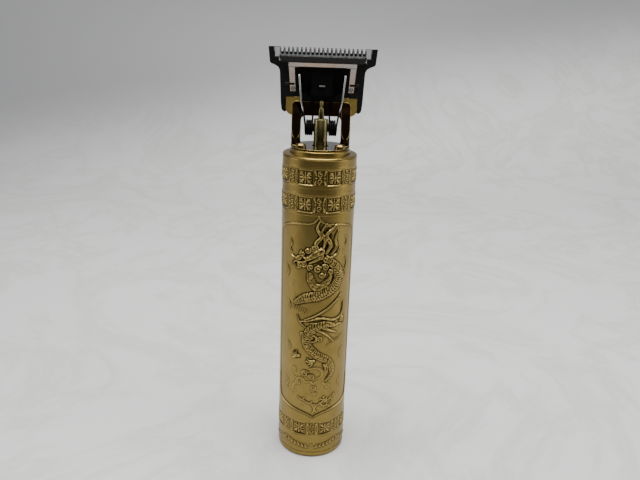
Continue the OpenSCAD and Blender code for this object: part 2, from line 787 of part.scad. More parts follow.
// Plan view of the three-pole rotor
module rotor_plan() {
  intersection() {
    circle(rotor_r);
    union() {
      circle(0.38 * rotor_r);
      for (turn = [0, 120, 240]) rotate(turn) {
        translate([0, -0.14 * rotor_r]) square([rotor_r, 0.28 * rotor_r]);
        intersection() {
          difference() {
            circle(rotor_r + 1);
            circle(0.8 * rotor_r);
          }
          polygon([[0, 0], [2 * rotor_r, -2.6 * rotor_r], [3 * rotor_r, 0],
                   [2 * rotor_r, 2.6 * rotor_r]]);
        }
      }
    }
  }
}

module rotor_core() {
  color("slategray") translate([0, 0, rotor_z]) linear_extrude(rotor_h) difference() {
    rotor_plan();
    circle(shaft_d / 2);
  }
}

// One block of winding on each side of each pole's neck
module rotor_windings() {
  neck = 0.14 * rotor_r + 0.05;
  color("#b06a35") translate([0, 0, rotor_z - 0.8]) for (turn = [0, 120, 240])
    rotate(turn) for (side = [0, 1]) mirror([0, side, 0])
      translate([0.46 * rotor_r, neck, 0]) cube([0.21 * rotor_r, 0.21 * rotor_r, rotor_h + 1.6]);
}

module commutator() {
  color("#b87333") difference() {
    ring(commutator_r, shaft_d / 2, commutator_z, commutator_z + commutator_h);
    for (turn = [60, 180, 300]) rotate([0, 0, turn])
      translate([commutator_r - 0.5, -0.15, commutator_z - 1]) cube([1, 0.3, commutator_h + 2]);
  }
}

module motor_can() {
  color("silver") rotate_extrude() polygon([
    [can_boss_r - 1.2, motor_top - can_wall], [motor_r - can_wall, motor_top - can_wall],
    [motor_r - can_wall, motor_z], [motor_r, motor_z], [motor_r, motor_top - 0.5],
    [motor_r - 0.5, motor_top], [can_boss_r, motor_top], [can_boss_r, motor_top + can_boss_h],
    [can_boss_r - 1.2, motor_top + can_boss_h]
  ]);
}

module motor_top_bush() {
  color("peru") ring(can_boss_r - 1.2, bush_bore_r, motor_top - can_wall - 0.6,
                     motor_top + can_boss_h);
}

module motor_magnets() {
  color("#4a4a4e") for (turn = [0, 180]) rotate([0, 0, turn]) intersection() {
    ring(magnet_r, magnet_r - magnet_t, rotor_z - 1.5, rotor_z + rotor_h + 1.5);
    linear_extrude(big * 2) polygon([[0, 0], [big, -big * 1.4], [big, big * 1.4]]);
  }
}

module motor_end_cap() {
  color("whitesmoke") difference() {
    union() {
      translate([0, 0, motor_floor]) cylinder(r = motor_r - 0.2, h = end_cap_t);
      ring(motor_r - can_wall - 0.05, motor_r - can_wall - 1.2, motor_z - tie,
           motor_z + end_cap_lip);
    }
    translate([0, 0, motor_floor + 0.2]) cylinder(r = 2, h = big);
    for (side = [-1, 1]) translate([side * 5.6 - 0.85, 2.2, motor_floor - 1])
      cube([1.7, 0.6, end_cap_t + 2]);
  }
}

module motor_bottom_bush() {
  color("peru") ring(2, bush_bore_r, motor_floor + 0.4, motor_z - 0.1);
}

// Carbon blocks that bear on the commutator, on their leaf arms
module motor_brushes() {
  color("darkgoldenrod") for (side = [-1, 1]) {
    translate([side > 0 ? commutator_r + 0.06 : -commutator_r - 1.26, -0.9, commutator_z + 0.7])
      cube([1.2, 1.8, 1.4]);
    translate([side > 0 ? commutator_r + 1.26 : -commutator_r - 1.51, -0.9, motor_z + 0.05])
      cube([0.25, 1.8, commutator_z + 2.1 - motor_z - 0.05]);
  }
}

module motor_terminals() {
  color("gold") for (side = [-1, 1])
    translate([side * 5.6 - 0.8, 2.25, motor_floor - terminal_h])
      cube([1.6, 0.5, terminal_h + end_cap_t + 0.8]);
}

// ---------------------------------------------------------------- chassis and battery

// Half of the inner chassis: side is -1 for the front and 1 for the rear
module chassis_half(side) {
  cell_stops = [battery_z - rib_t - stop_gap, battery_z + battery_len + stop_gap];
  difference() {
    ring(chassis_r, chassis_in_r, chassis_z, chassis_top);
    translate([-big / 2, side > 0 ? -big + split_gap / 2 : -split_gap / 2, 0])
      cube([big, big, 2 * big]);
  }
  if (side < 0) {
    // Stops below and above the battery, open at the back for the board and the leads
    for (z = cell_stops) difference() {
      intersection() {
        translate([0, 0, z]) cylinder(r = chassis_in_r + tie, h = rib_t);
        translate([-big / 2, -big - split_gap / 2, 0]) cube([big, big, 2 * big]);
      }
      translate([0, battery_y, z - 1]) cylinder(r = battery_r - 2.2, h = rib_t + 2);
    }
    // Posts that take the base screws
    both_sides() difference() {
      translate([post_x, post_y, base_floor_h + 0.3])
        cylinder(r = post_r, h = chassis_z + 4 - base_floor_h, $fn = 48);
      translate([post_x, post_y, 0]) cylinder(r = 0.75, h = 11, $fn = 48);
    }
  }
}

module chassis_front() {
  color("#303234") chassis_half(-1);
}

module chassis_rear() {
  color("#303234") difference() {
    union() {
      chassis_half(1);
      // Ledges that carry the board's edges
      both_sides() intersection() {
        translate([board_w / 2 - 0.6, board_back + 0.05, board_z0 + 12]) cube([5, 2, board_h - 14]);
        cylinder(r = chassis_in_r + tie, h = big);
      }
    }
    switch_slot(chassis_r + 1);
    lamp_hole(chassis_r + 1, seat_gap);
  }
}

module battery_cell() {
  color("seagreen") translate([0, battery_y, 0]) {
    rotate_extrude() polygon([
      [0, battery_z], [battery_r - 0.6, battery_z], [battery_r, battery_z + 0.6],
      [battery_r, battery_z + battery_len - 1.1], [battery_r - 0.6, battery_z + battery_len - 0.5],
      [2.6, battery_z + battery_len - 0.5], [2.6, battery_z + battery_len], [0, battery_z + battery_len]
    ]);
  }
}

module battery_tabs() {
  color("lightgray") for (top = [0, 1])
    translate([top ? -1.6 : -4.6, battery_y - 1, top ? battery_z + battery_len : battery_z - tab_t])
      cube([6.2, 3.4, tab_t]);
}

module battery_lead_red() {
  color("firebrick") wire(smooth_route(red_battery_route, 4), lead_r);
}

module battery_lead_black() {
  color(black) wire(smooth_route(black_battery_route, 4), lead_r);
}

module motor_leads() {
  color("firebrick") wire(smooth_route(motor_lead_route, 4), lead_r);
  color(black) mirror([1, 0, 0]) wire(smooth_route(motor_lead_route, 4), lead_r);
}

// ---------------------------------------------------------------- board and switch

module circuit_board() {
  color("darkgreen") plate(board_y, board_back)
    translate([-board_w / 2, board_z0]) square([board_w, board_h]);
}

module board_chips() {
  color("#26282a") {
    // Charger, motor driver and their coil and capacitors on the front of the board
    plate(board_y - 1.5, board_y) translate([-2.5, 13]) square([5, 4]);
    plate(board_y - 1.1, board_y) translate([2.6, 21]) square([3, 3]);
    plate(board_y - 1.6, board_y) translate([-6.4, 20]) square([4, 4]);
    for (k = [0 : 4])
      plate(board_y - 0.7, board_y) translate([-1.6 + (k % 2) * 2.2, 19 + 1.6 * k]) square([1.2, 0.7]);
  }
}

module charging_socket() {
  color("silver") difference() {
    translate([0, socket_y, socket_z]) linear_extrude(socket_len)
      round_rect(-socket_w / 2, socket_w / 2, -socket_t / 2, socket_t / 2, socket_t / 2 - tie);
    translate([0, socket_y, socket_z - 1]) linear_extrude(socket_len)
      difference() {
        round_rect(-socket_w / 2 + socket_wall, socket_w / 2 - socket_wall,
                   -socket_t / 2 + socket_wall, socket_t / 2 - socket_wall,
                   socket_t / 2 - socket_wall - tie);
        square([socket_w - 2.2, 0.7], center = true);
      }
  }
}

module switch_body() {
  cavity_w = lever_w + 2 * air_gap;
  cavity_len = lever_len + switch_travel + 2 * air_gap;
  color("silver") difference() {
    plate(board_back, switch_body_y1)
      translate([-switch_w / 2, switch_z - switch_len / 2]) square([switch_w, switch_len]);
    plate(board_back + 1, switch_body_y1 + 1)
      translate([-cavity_w / 2, switch_z - cavity_len / 2]) square([cavity_w, cavity_len]);
  }
}

module switch_lever() {
  color("ivory") plate(board_back + 1 + air_gap, body_r - 0.3)
    translate([-lever_w / 2, knob_z - lever_len / 2]) square([lever_w, lever_len]);
}

module switch_knob() {
  neck = 0.5;
  color(dark_gold) {
    difference() {
      intersection() {
        ring(body_r + knob_gap + knob_t + knob_ridge, body_r + knob_gap, knob_z - knob_len / 2,
             knob_z + knob_len / 2);
        plate(0, big) round_rect(-knob_w / 2, knob_w / 2, knob_z - knob_len / 2,
                                 knob_z + knob_len / 2, 2);
      }
      // Valleys between the grip ridges
      for (k = [-3 : 3]) translate([0, 0, knob_z + k * 1.35 - 0.4])
        ring(body_r + big, body_r + knob_gap + knob_t, 0, 0.8);
    }
    plate(body_r - 0.3, body_r + knob_gap + knob_t / 2)
      translate([-lever_w / 2, knob_z - lever_len / 2]) square([lever_w, lever_len]);
  }
}

module charging_lamp() {
  color("tomato") plate(board_back, board_back + 0.8)
    translate([-0.8, lamp_z - 0.5]) square([1.6, 1]);
}

module light_pipe() {
  color("lightblue") translate([0, 0, lamp_z]) rod_y(lamp_r, board_back + 1, body_r - 0.1);
}

outer_shell();
base_cap();
base_screws();
top_collar();
top_plate();
shaft_seal();
head_bracket();
bracket_screws();
blade_frame();
fixed_blade();
blade_screws();
moving_blade();
blade_carrier();
clamp_bar();
carrier_rivets();
torsion_spring();
spring_pin();
drive_cam();
drive_pin();
motor_shaft();
rotor_core();
rotor_windings();
commutator();
motor_can();
motor_top_bush();
motor_magnets();
motor_end_cap();
motor_bottom_bush();
motor_brushes();
motor_terminals();
chassis_front();
chassis_rear();
battery_cell();
battery_tabs();
battery_lead_red();
battery_lead_black();
motor_leads();
circuit_board();
board_chips();
charging_socket();
switch_body();
switch_lever();
switch_knob();
charging_lamp();
light_pipe();
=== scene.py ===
"""Looks of a cordless T-blade hair clipper with a gold body covered in relief.

Lengths inside the classes are millimetres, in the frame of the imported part: +Z is up and the front
faces -Y. Meshes are turned to metres when they are made.
"""

import json
import logging
import math
from dataclasses import dataclass, field
from enum import Enum
from typing import Any, Optional, Sequence

import bmesh
import bpy
import numpy as np
from mathutils import Matrix, Vector

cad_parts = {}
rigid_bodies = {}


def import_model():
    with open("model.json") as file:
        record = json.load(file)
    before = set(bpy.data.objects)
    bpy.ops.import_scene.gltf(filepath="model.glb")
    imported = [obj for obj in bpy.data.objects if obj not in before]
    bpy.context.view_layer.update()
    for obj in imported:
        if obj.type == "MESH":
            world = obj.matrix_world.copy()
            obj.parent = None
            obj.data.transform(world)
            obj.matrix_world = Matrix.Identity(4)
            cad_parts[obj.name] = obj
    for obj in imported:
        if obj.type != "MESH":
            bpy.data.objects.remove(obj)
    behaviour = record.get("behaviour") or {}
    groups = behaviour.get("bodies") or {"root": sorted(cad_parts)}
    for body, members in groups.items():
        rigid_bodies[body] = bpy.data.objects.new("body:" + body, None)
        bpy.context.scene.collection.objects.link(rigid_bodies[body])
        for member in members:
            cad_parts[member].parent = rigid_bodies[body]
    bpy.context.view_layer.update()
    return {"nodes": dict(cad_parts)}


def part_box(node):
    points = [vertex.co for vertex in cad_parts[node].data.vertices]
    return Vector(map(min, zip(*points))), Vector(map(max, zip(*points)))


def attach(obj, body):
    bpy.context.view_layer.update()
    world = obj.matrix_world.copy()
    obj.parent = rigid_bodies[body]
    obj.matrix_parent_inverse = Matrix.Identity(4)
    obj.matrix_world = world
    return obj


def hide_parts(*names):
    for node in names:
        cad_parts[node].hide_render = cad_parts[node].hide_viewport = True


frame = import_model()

LOG = logging.getLogger("clipper")
MM = 0.001
BODY = "body"
ROTOR = "rotor"
CUTTER = "cutter"
POWER_SWITCH = "power_switch"

Path = Sequence[tuple[float, float]]


# ------------------------------------------------------------------ colours and nodes


def linear(hex_colour: str, alpha: float = 1.0) -> tuple[float, float, float, float]:
    """Turns an sRGB hex colour to linear light.

    Args:
        hex_colour: Colour such as "#8b7743".
        alpha: Opacity of the result.

    Returns:
        Linear red, green, blue and alpha.
    """
    parts = [int(hex_colour[i : i + 2], 16) / 255 for i in (1, 3, 5)]
    low = [c / 12.92 if c <= 0.04045 else ((c + 0.055) / 1.055) ** 2.4 for c in parts]
    return (low[0], low[1], low[2], alpha)


def add_node(
    tree: bpy.types.NodeTree,
    kind: str,
    settings: Optional[dict[str, Any]] = None,
    **inputs: Any,
) -> bpy.types.Node:
    """Adds a node with its settings and its inputs.

    Args:
        tree: Node tree that the node goes in.
        kind: Blender's name of the node type.
        settings: Properties of the node itself.
        **inputs: Value or output socket for each input. An input is named by its label with
            underscores for spaces, or by its number after an "i".

    Returns:
        The new node.
    """
    node = tree.nodes.new(kind)
    for key, value in (settings or {}).items():
        setattr(node, key, value)
    for key, value in inputs.items():
        numbered = key[0] == "i" and key[1:].isdigit()
        socket = node.inputs[int(key[1:]) if numbered else key.replace("_", " ")]
        if isinstance(value, bpy.types.NodeSocket):
            tree.links.new(value, socket)
        else:
            socket.default_value = value
    return node


class Pattern(Enum):
    """Marks that the making of a surface leaves on it."""

    CAST = "fine even grain of a die casting under plating"
    BRUSHED = "straight grinding lines along X"
    TURNED = "rings left by a lathe, one above the other"
    MOULDED = "even skin of a moulding"
    WOUND = "round wires side by side"
    LAMINATED = "thin sheets stacked along Z"
    DRAWN = "faint lines along a drawn wire"


# How many grains long a mark is along X, Y and Z. Wound and laminated pieces have rings instead
MARK_STRETCH: dict[Pattern, tuple[float, float, float]] = {
    Pattern.CAST: (1, 1, 1),
    Pattern.BRUSHED: (40, 1, 1),
    Pattern.TURNED: (60, 60, 1),
    Pattern.MOULDED: (1, 1, 1),
    Pattern.DRAWN: (3, 3, 3),
}


@dataclass(frozen=True)
class Finish:
    """A real material and how its surface was made.

    Attributes:
        name: Common name of the material with its making.
        colour: Main colour, sRGB hex.
        shade: Colour that it drifts to in soft clouds.
        metallic: 1 for a bare or plated metal.
        roughness: Middle of the roughness.
        spread: How far the roughness drifts each way.
        pattern: Marks on the surface.
        grain_mm: Spacing of those marks.
        bump_mm: Depth of the marks.
        drift_mm: Size of the clouds of tone.
        edge_wear_and_light: How far the edges are tinted to edge_wear_and_light_colour: wear on some
            finishes, painted highlights on the bracket and the black coats, painted shade on the
            blades.
        edge_wear_and_light_colour: Colour of those tinted edges.
        edge_mm: Width of that edge.
        coat: Weight of a clear glossy layer.
        transmission: Share of light that passes through.
        glow: Strength of a lamp's own light.
        specular: Specular level of a paint or plastic, 0.5 being that of glass.
    """

    name: str
    colour: str
    shade: str
    metallic: float = 0.0
    roughness: float = 0.45
    spread: float = 0.05
    pattern: Pattern = Pattern.MOULDED
    grain_mm: float = 0.35
    bump_mm: float = 0.006
    drift_mm: float = 5.0
    edge_wear_and_light: float = 0.0
    edge_wear_and_light_colour: str = "#ffffff"
    edge_mm: float = 0.12
    coat: float = 0.0
    transmission: float = 0.0
    glow: float = 0.0
    specular: float = 0.5

    def material(self) -> bpy.types.Material:
        """Makes the finish's node material, or returns the one already made."""
        found = bpy.data.materials.get(self.name)
        if found:
            return found
        made = bpy.data.materials.new(self.name)
        made.use_nodes = True
        tree = made.node_tree
        tree.nodes.clear()
        place = add_node(tree, "ShaderNodeTexCoord").outputs["Object"]
        colour = self.tone(tree, place)
        marks = self.marks(tree, place)
        rough = add_node(
            tree, "ShaderNodeMapRange", i0=marks, i3=self.roughness - self.spread,
            i4=self.roughness + self.spread,
        )
        bump = add_node(
            tree, "ShaderNodeBump", Strength=1.0, Distance=self.bump_mm * MM, Height=marks
        )
        shader = add_node(
            tree, "ShaderNodeBsdfPrincipled", Base_Color=self.with_wear_and_painted_light(tree, colour),
            Metallic=self.metallic, Roughness=rough.outputs[0], Normal=bump.outputs[0],
            Coat_Weight=self.coat, Transmission_Weight=self.transmission,
            Specular_IOR_Level=self.specular,
        )
        if self.glow:
            shader.inputs["Emission Color"].default_value = linear(self.colour)
            shader.inputs["Emission Strength"].default_value = self.glow
        add_node(tree, "ShaderNodeOutputMaterial", Surface=shader.outputs[0])
        return made

    def tone(self, tree: bpy.types.NodeTree, place: bpy.types.NodeSocket) -> bpy.types.NodeSocket:
        """Main colour that drifts to the shade in soft clouds.

        Args:
            tree: Node tree of the material.
            place: Object coordinates.

        Returns:
            Colour socket.
        """
        clouds = add_node(
            tree, "ShaderNodeTexNoise", Vector=place, Scale=1 / (self.drift_mm * MM),
            Detail=4.0, Roughness=0.6,
        )
        even = add_node(tree, "ShaderNodeMapRange", i0=clouds.outputs[0], i1=0.3, i2=0.7)
        mix = add_node(
            tree, "ShaderNodeMix", {"data_type": "RGBA"}, i0=even.outputs[0],
            i6=linear(self.colour), i7=linear(self.shade),
        )
        return mix.outputs[2]

    def marks(self, tree: bpy.types.NodeTree, place: bpy.types.NodeSocket) -> bpy.types.NodeSocket:
        """Marks of the making, from 0 in a hollow to 1 on a crest.

        Args:
            tree: Node tree of the material.
            place: Object coordinates.

        Returns:
            Value socket.
        """
        fine = 1 / (self.grain_mm * MM)
        if self.pattern in (Pattern.WOUND, Pattern.LAMINATED):
            # One round of the sine for each wire or sheet
            return add_node(
                tree, "ShaderNodeTexWave", {"bands_direction": "Z"}, Vector=place,
                Scale=fine / 20 * math.pi, Distortion=0.0,
            ).outputs[1]
        stretch = MARK_STRETCH[self.pattern]
        spread = add_node(
            tree, "ShaderNodeMapping", Vector=place, Scale=tuple(fine / s for s in stretch)
        )
        noise = add_node(
            tree, "ShaderNodeTexNoise", Vector=spread.outputs[0], Scale=1.0, Detail=3.0
        )
        return noise.outputs[0]

    def with_wear_and_painted_light(
        self, tree: bpy.types.NodeTree, colour: bpy.types.NodeSocket
    ) -> bpy.types.NodeSocket:
        """Colour with its edges tinted, where a rounded normal parts from the true one, for wear and
        for painted highlights and shade.

        Args:
            tree: Node tree of the material.
            colour: Colour before wear.

        Returns:
            Colour socket.
        """
        if not self.edge_wear_and_light:
            return colour
        rounded = add_node(tree, "ShaderNodeBevel", {"samples": 4}, Radius=self.edge_mm * MM)
        true = add_node(tree, "ShaderNodeNewGeometry").outputs["Normal"]
        turn = add_node(
            tree, "ShaderNodeVectorMath", {"operation": "DOT_PRODUCT"}, i0=rounded.outputs[0],
            i1=true,
        )
        # Edge mask that carries wear and painted light, by finish
        edge = add_node(
            tree, "ShaderNodeMapRange", i0=turn.outputs["Value"], i1=0.995, i2=0.9, i3=0.0,
            i4=self.edge_wear_and_light,
        )
        return add_node(
            tree, "ShaderNodeMix", {"data_type": "RGBA"}, i0=edge.outputs[0], i6=colour,
            i7=linear(self.edge_wear_and_light_colour),
        ).outputs[2]


@dataclass(frozen=True)
class ReliefFinish(Finish):
    """Plated relief: dark patina and painted shade stay in the hollows, and handling polishes the
    crests.

    Attributes:
        patina_and_shade_colour: Colour of the patina and painted shade in the hollows.
        crest_colour: Colour of a polished crest.
    """

    patina_and_shade_colour: str = "#171005"
    crest_colour: str = "#c4ab6a"

    def with_wear_and_painted_light(
        self, tree: bpy.types.NodeTree, colour: bpy.types.NodeSocket
    ) -> bpy.types.NodeSocket:
        """Colour with patina and painted shade from the mesh's hollow value, and polish from its
        crest value.

        Args:
            tree: Node tree of the material.
            colour: Colour before them.

        Returns:
            Colour socket.
        """
        # Hollows go dark as patina and painted shade; crests go light as polish
        for name, tint, share in (
            ("hollow", self.patina_and_shade_colour, 0.96),
            ("crest", self.crest_colour, 0.45),
        ):
            value = add_node(tree, "ShaderNodeAttribute", {"attribute_name": name})
            amount = add_node(
                tree, "ShaderNodeMapRange", i0=value.outputs["Fac"], i3=0.0, i4=share
            )
            colour = add_node(
                tree, "ShaderNodeMix", {"data_type": "RGBA"}, i0=amount.outputs[0], i6=colour,
                i7=linear(tint),
            ).outputs[2]
        return colour


# Satin antique-gold electroplating over die-cast zinc: soft wide highlights, an even fine grain, and
# hollows darkened with patina and painted shade
RELIEF_GOLD = ReliefFinish(
    "satin_antique_gold_on_zinc_relief", "#8e7a45", "#816d3a", 1.0, 0.36, 0.05, Pattern.CAST,
    0.16, 0.002, 9.0,
)
# The same plating on the smooth turned rings and cap, with rubbed edges
SATIN_GOLD = Finish(
    "satin_antique_gold_on_zinc", "#8e7a45", "#816d3a", 1.0, 0.33, 0.05, Pattern.TURNED,
    0.12, 0.001, 9.0, 0.6, "#c9b070",
)
# Brown-gold lacquer over a polished casting: darker and glossier than the body, its edges tinted
# light as painted highlights
BRACKET_GOLD = Finish(
    "brown_gold_lacquered_zinc_casting", "#34261a", "#281c12", 1.0, 0.17, 0.04, Pattern.CAST,
    0.3, 0.002, 4.0, 0.9, "#b39a5e", 0.22,
)
# Thin bright gold lines along the bracket's edges: painted highlights
GOLD_EDGE_HIGHLIGHT = Finish(
    "gold_edge_lines_painted_highlight", "#a08a50", "#7d6a3c", 1.0, 0.3, 0.08, Pattern.CAST,
    0.3, 0.002, 1.2,
)
# The bracket's back plate and shoulders are blasted before they are plated
SHOULDER_GOLD = Finish(
    "blasted_gold_plated_zinc", "#b09a58", "#9f8a4a", 1.0, 0.46, 0.05, Pattern.CAST,
    0.14, 0.004, 3.0, 0.5, "#e6cf92",
)
# Turned brass with a clear lacquer: lathe rings streak its reflections upwards
TURNED_BRASS = Finish(
    "turned_lacquered_brass", "#8b8259", "#777048", 1.0, 0.2, 0.06, Pattern.TURNED,
    0.1, 0.0015, 3.0, 0.5, "#d9d2a6",
)
# Brass plating on screw heads: lathe rings and a soft warm shine
BRASS_SCREW = Finish(
    "brass_plated_screw_steel", "#857044", "#6f5c36", 1.0, 0.27, 0.06, Pattern.TURNED,
    0.12, 0.0015, 2.0, 0.5, "#e6caa0",
)
# Ground stainless steel: straight lines along the blade, its edges painted nearly black as painted
# shade
BLADE_STEEL = Finish(
    "ground_stainless_steel", "#d2d3d2", "#c0c1c0", 1.0, 0.17, 0.04, Pattern.BRUSHED,
    0.06, 0.0015, 2.5, 0.95, "#161513", 0.3,
)
# Painted shade between the teeth and along the blades' edges: nearly black, with a dull shine
FLANK_SHADE_STEEL = Finish(
    "steel_darkened_as_painted_shade", "#1c1b19", "#12110f", 1.0, 0.4, 0.08, Pattern.BRUSHED,
    0.06, 0.0015, 1.0,
)
# Bright spring wire; its legs are painted near black below a height as painted shade
SPRING_STEEL = ReliefFinish(
    "spring_wire_with_painted_shade", "#cfcfcb", "#b4b3ae", 1.0, 0.32, 0.05, Pattern.DRAWN,
    0.2, 0.001, 1.5, patina_and_shade_colour="#12110f",
)
# Bright zinc plating: grey with soft reflections
PLAIN_STEEL = Finish(
    "zinc_plated_steel", "#b3b5b7", "#9c9ea1", 1.0, 0.35, 0.06, Pattern.CAST, 0.25, 0.002, 3.0
)
# Chemically blackened steel: dark grey with a low shine
DARK_STEEL = Finish(
    "blackened_steel", "#3c3b39", "#2a2928", 1.0, 0.35, 0.06, Pattern.DRAWN, 0.2, 0.001, 1.5
)
# Black electrophoretic paint on pressed steel: thin and slightly wavy, its edges painted grey as
# painted highlights
BLACK_COAT = Finish(
    "black_e_coated_steel", "#0c0c0c", "#121211", 0.0, 0.5, 0.06, Pattern.CAST,
    0.4, 0.004, 6.0, 0.25, "#2c2b28", specular=0.16,
)
# Grey lines along the frame's and clamp bar's edges that fade in and out: painted highlights
COAT_EDGE_HIGHLIGHT = Finish(
    "grey_edge_lines_painted_highlight", "#4a4a48", "#161615", 1.0, 0.4, 0.08, Pattern.CAST,
    0.3, 0.002, 1.6,
)
# The clamp bar is painted more thinly, so that it shines a little; its edges are painted grey as
# painted highlights
BAR_COAT = Finish(
    "thin_black_e_coated_steel", "#191918", "#131312", 0.0, 0.36, 0.05, Pattern.BRUSHED,
    0.3, 0.003, 6.0, 0.5, "#5b5a57", specular=0.45,
)
# Glass-filled nylon: fine matt skin
BLACK_NYLON = Finish(
    "black_moulded_nylon", "#020202", "#050504", 0.0, 0.65, 0.06, Pattern.MOULDED,
    0.25, 0.005, 4.0, 0.15, "#171615", specular=0.04,
)
# Moulded ABS: even dark grey with a fine matt skin
CHASSIS_ABS = Finish(
    "dark_grey_moulded_abs", "#2e3032", "#36383a", 0.0, 0.5, 0.05, Pattern.MOULDED,
    0.35, 0.006, 6.0,
)
# Moulded acetal: off-white and slightly waxy
WHITE_POM = Finish(
    "white_moulded_acetal", "#e6e4dc", "#dad7cd", 0.0, 0.4, 0.04, Pattern.MOULDED,
    0.3, 0.003, 4.0,
)
# Nitrile rubber: black and dull
SEAL_RUBBER = Finish(
    "black_nitrile_rubber", "#141414", "#1d1c1b", 0.0, 0.7, 0.05, Pattern.MOULDED,
    0.2, 0.006, 2.0,
)
# Sintered bronze: brown-gold with fine pores
BUSH_BRONZE = Finish(
    "sintered_bronze", "#9a7546", "#84623a", 1.0, 0.5, 0.08, Pattern.CAST, 0.1, 0.004, 1.5
)
# Sintered ferrite: dark grey and chalky
FERRITE = Finish(
    "sintered_ferrite", "#3b3b3e", "#303033", 0.0, 0.6, 0.06, Pattern.CAST, 0.2, 0.006, 2.0
)
# Stacked sheets: grey with fine rings, drawn 0.5 mm apart so that they show
CORE_STEEL = Finish(
    "stacked_electrical_steel", "#7d8186", "#6b6f74", 1.0, 0.4, 0.06, Pattern.LAMINATED,
    0.5, 0.02, 3.0,
)
# Enamelled copper wire: orange-brown rings with a gloss
WOUND_COPPER = Finish(
    "enamelled_copper_winding", "#b5673a", "#9c5228", 1.0, 0.28, 0.05, Pattern.WOUND,
    0.3, 0.05, 1.5,
)
# Turned copper: pinkish orange with fine rings
COPPER = Finish(
    "turned_copper", "#b8734a", "#a2603a", 1.0, 0.3, 0.06, Pattern.TURNED, 0.1, 0.002, 1.5
)
# Shrink wrap: smooth green with a gloss
CELL_WRAP = Finish(
    "green_pvc_shrink_wrap", "#2f7f55", "#2a734c", 0.0, 0.3, 0.05, Pattern.MOULDED,
    1.2, 0.01, 8.0, coat=0.2,
)
# PVC insulation: even colour with a satin skin
LEAD_RED = Finish(
    "red_pvc_insulation", "#a8201c", "#941a17", 0.0, 0.4, 0.04, Pattern.MOULDED, 0.3, 0.003, 4.0
)
LEAD_BLACK = Finish(
    "black_pvc_insulation", "#161616", "#1f1f1f", 0.0, 0.4, 0.04, Pattern.MOULDED, 0.3, 0.003, 4.0
)
# Solder mask over glass fibre: green with a gloss and faint lines of the cloth
BOARD_GREEN = Finish(
    "solder_masked_fibreglass", "#1f5a36", "#2b6d44", 0.0, 0.35, 0.05, Pattern.BRUSHED,
    0.4, 0.01, 1.6, coat=0.3,
)
# Moulded epoxy: nearly black and matt
CHIP_EPOXY = Finish(
    "moulded_epoxy", "#1b1c1d", "#232425", 0.0, 0.55, 0.05, Pattern.MOULDED, 0.15, 0.004, 1.0
)
# Clear polycarbonate: a smooth window with a slight haze
CLEAR_PC = Finish(
    "clear_polycarbonate", "#f4f6f6", "#eef2f3", 0.0, 0.12, 0.03, Pattern.MOULDED,
    0.5, 0.002, 3.0, transmission=0.85,
)
# Epoxy lens of a lamp that is lit a little
LAMP_RED = Finish(
    "red_lamp_epoxy", "#d2483a", "#c23d30", 0.0, 0.25, 0.03, Pattern.MOULDED,
    0.5, 0.002, 1.0, coat=0.3, glow=0.4,
)


# ------------------------------------------------------------------ meshes


def make_piece(
    name: str,
    points: np.ndarray,
    faces: Sequence[np.ndarray],
    body: str,
    finish: Finish,
    stands_for: Sequence[str] = (),
    sharp_deg: float = 40.0,
    values: Optional[dict[str, np.ndarray]] = None,
) -> bpy.types.Object:
    """Puts a computed surface into a mesh, dresses it and hangs it on its CAD body.

    Args:
        name: Piece name.
        points: Points in millimetres, one row each.
        faces: Arrays of point numbers; every face of one array has as many corners.
        body: CAD body that the piece rides on.
        finish: Finish of the whole piece.
        stands_for: CAD nodes that it replaces.
        sharp_deg: Edges that turn by more than this stay sharp.
        values: One number per point for each named attribute.

    Returns:
        The new object.
    """
    mesh = bpy.data.meshes.new(name)
    corners = np.concatenate([f.ravel() for f in faces]).astype(np.int32)
    sizes = np.concatenate([np.full(len(f), f.shape[1]) for f in faces])
    starts = np.concatenate([[0], np.cumsum(sizes)[:-1]]).astype(np.int32)
    mesh.vertices.add(len(points))
    mesh.vertices.foreach_set("co", (points * MM).astype(np.float32).ravel())
    mesh.loops.add(len(corners))
    mesh.loops.foreach_set("vertex_index", corners)
    mesh.polygons.add(len(sizes))
    mesh.polygons.foreach_set("loop_start", starts)
    mesh.update(calc_edges=True)
    mesh.validate()
    for key, numbers in (values or {}).items():
        layer = mesh.attributes.new(key, "FLOAT", "POINT")
        layer.data.foreach_set("value", numbers.astype(np.float32))
    mesh.shade_smooth()
    mesh.set_sharp_from_angle(angle=math.radians(sharp_deg))
    mesh.materials.append(finish.material())
    piece = bpy.data.objects.new(name, mesh)
    bpy.context.scene.collection.objects.link(piece)
    return hang(piece, body, stands_for)


def hang(
    piece: bpy.types.Object, body: str, stands_for: Sequence[str] = ()
) -> bpy.types.Object:
    """Hangs a finished piece on its CAD body and hides the CAD nodes that it replaces.

    Args:
        piece: Object with its place in its mesh.
        body: CAD body.
        stands_for: CAD nodes that it replaces.

    Returns:
        The same object.
    """
    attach(piece, body)
    if stands_for:
        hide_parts(*stands_for)
    return piece


def grid_faces(rows: int, columns: int, closed: bool) -> np.ndarray:
    """Quads of a grid of points, row after row.

    The quad at (i, j) joins (i, j), (i, j+1), (i+1, j+1) and (i+1, j). On a closed grid the last
    column joins the first.

    Args:
        rows: Number of rows.
        columns: Number of columns.
        closed: Whether the columns go all the way round.

    Returns:
        One row of four point numbers per quad.
    """
    i, j = np.meshgrid(np.arange(rows - 1), np.arange(columns if closed else columns - 1))
    i, j = i.T.ravel(), j.T.ravel()
    k = (j + 1) % columns
    low, high = i * columns, (i + 1) * columns
    return np.stack([low + j, low + k, high + k, high + j], 1)


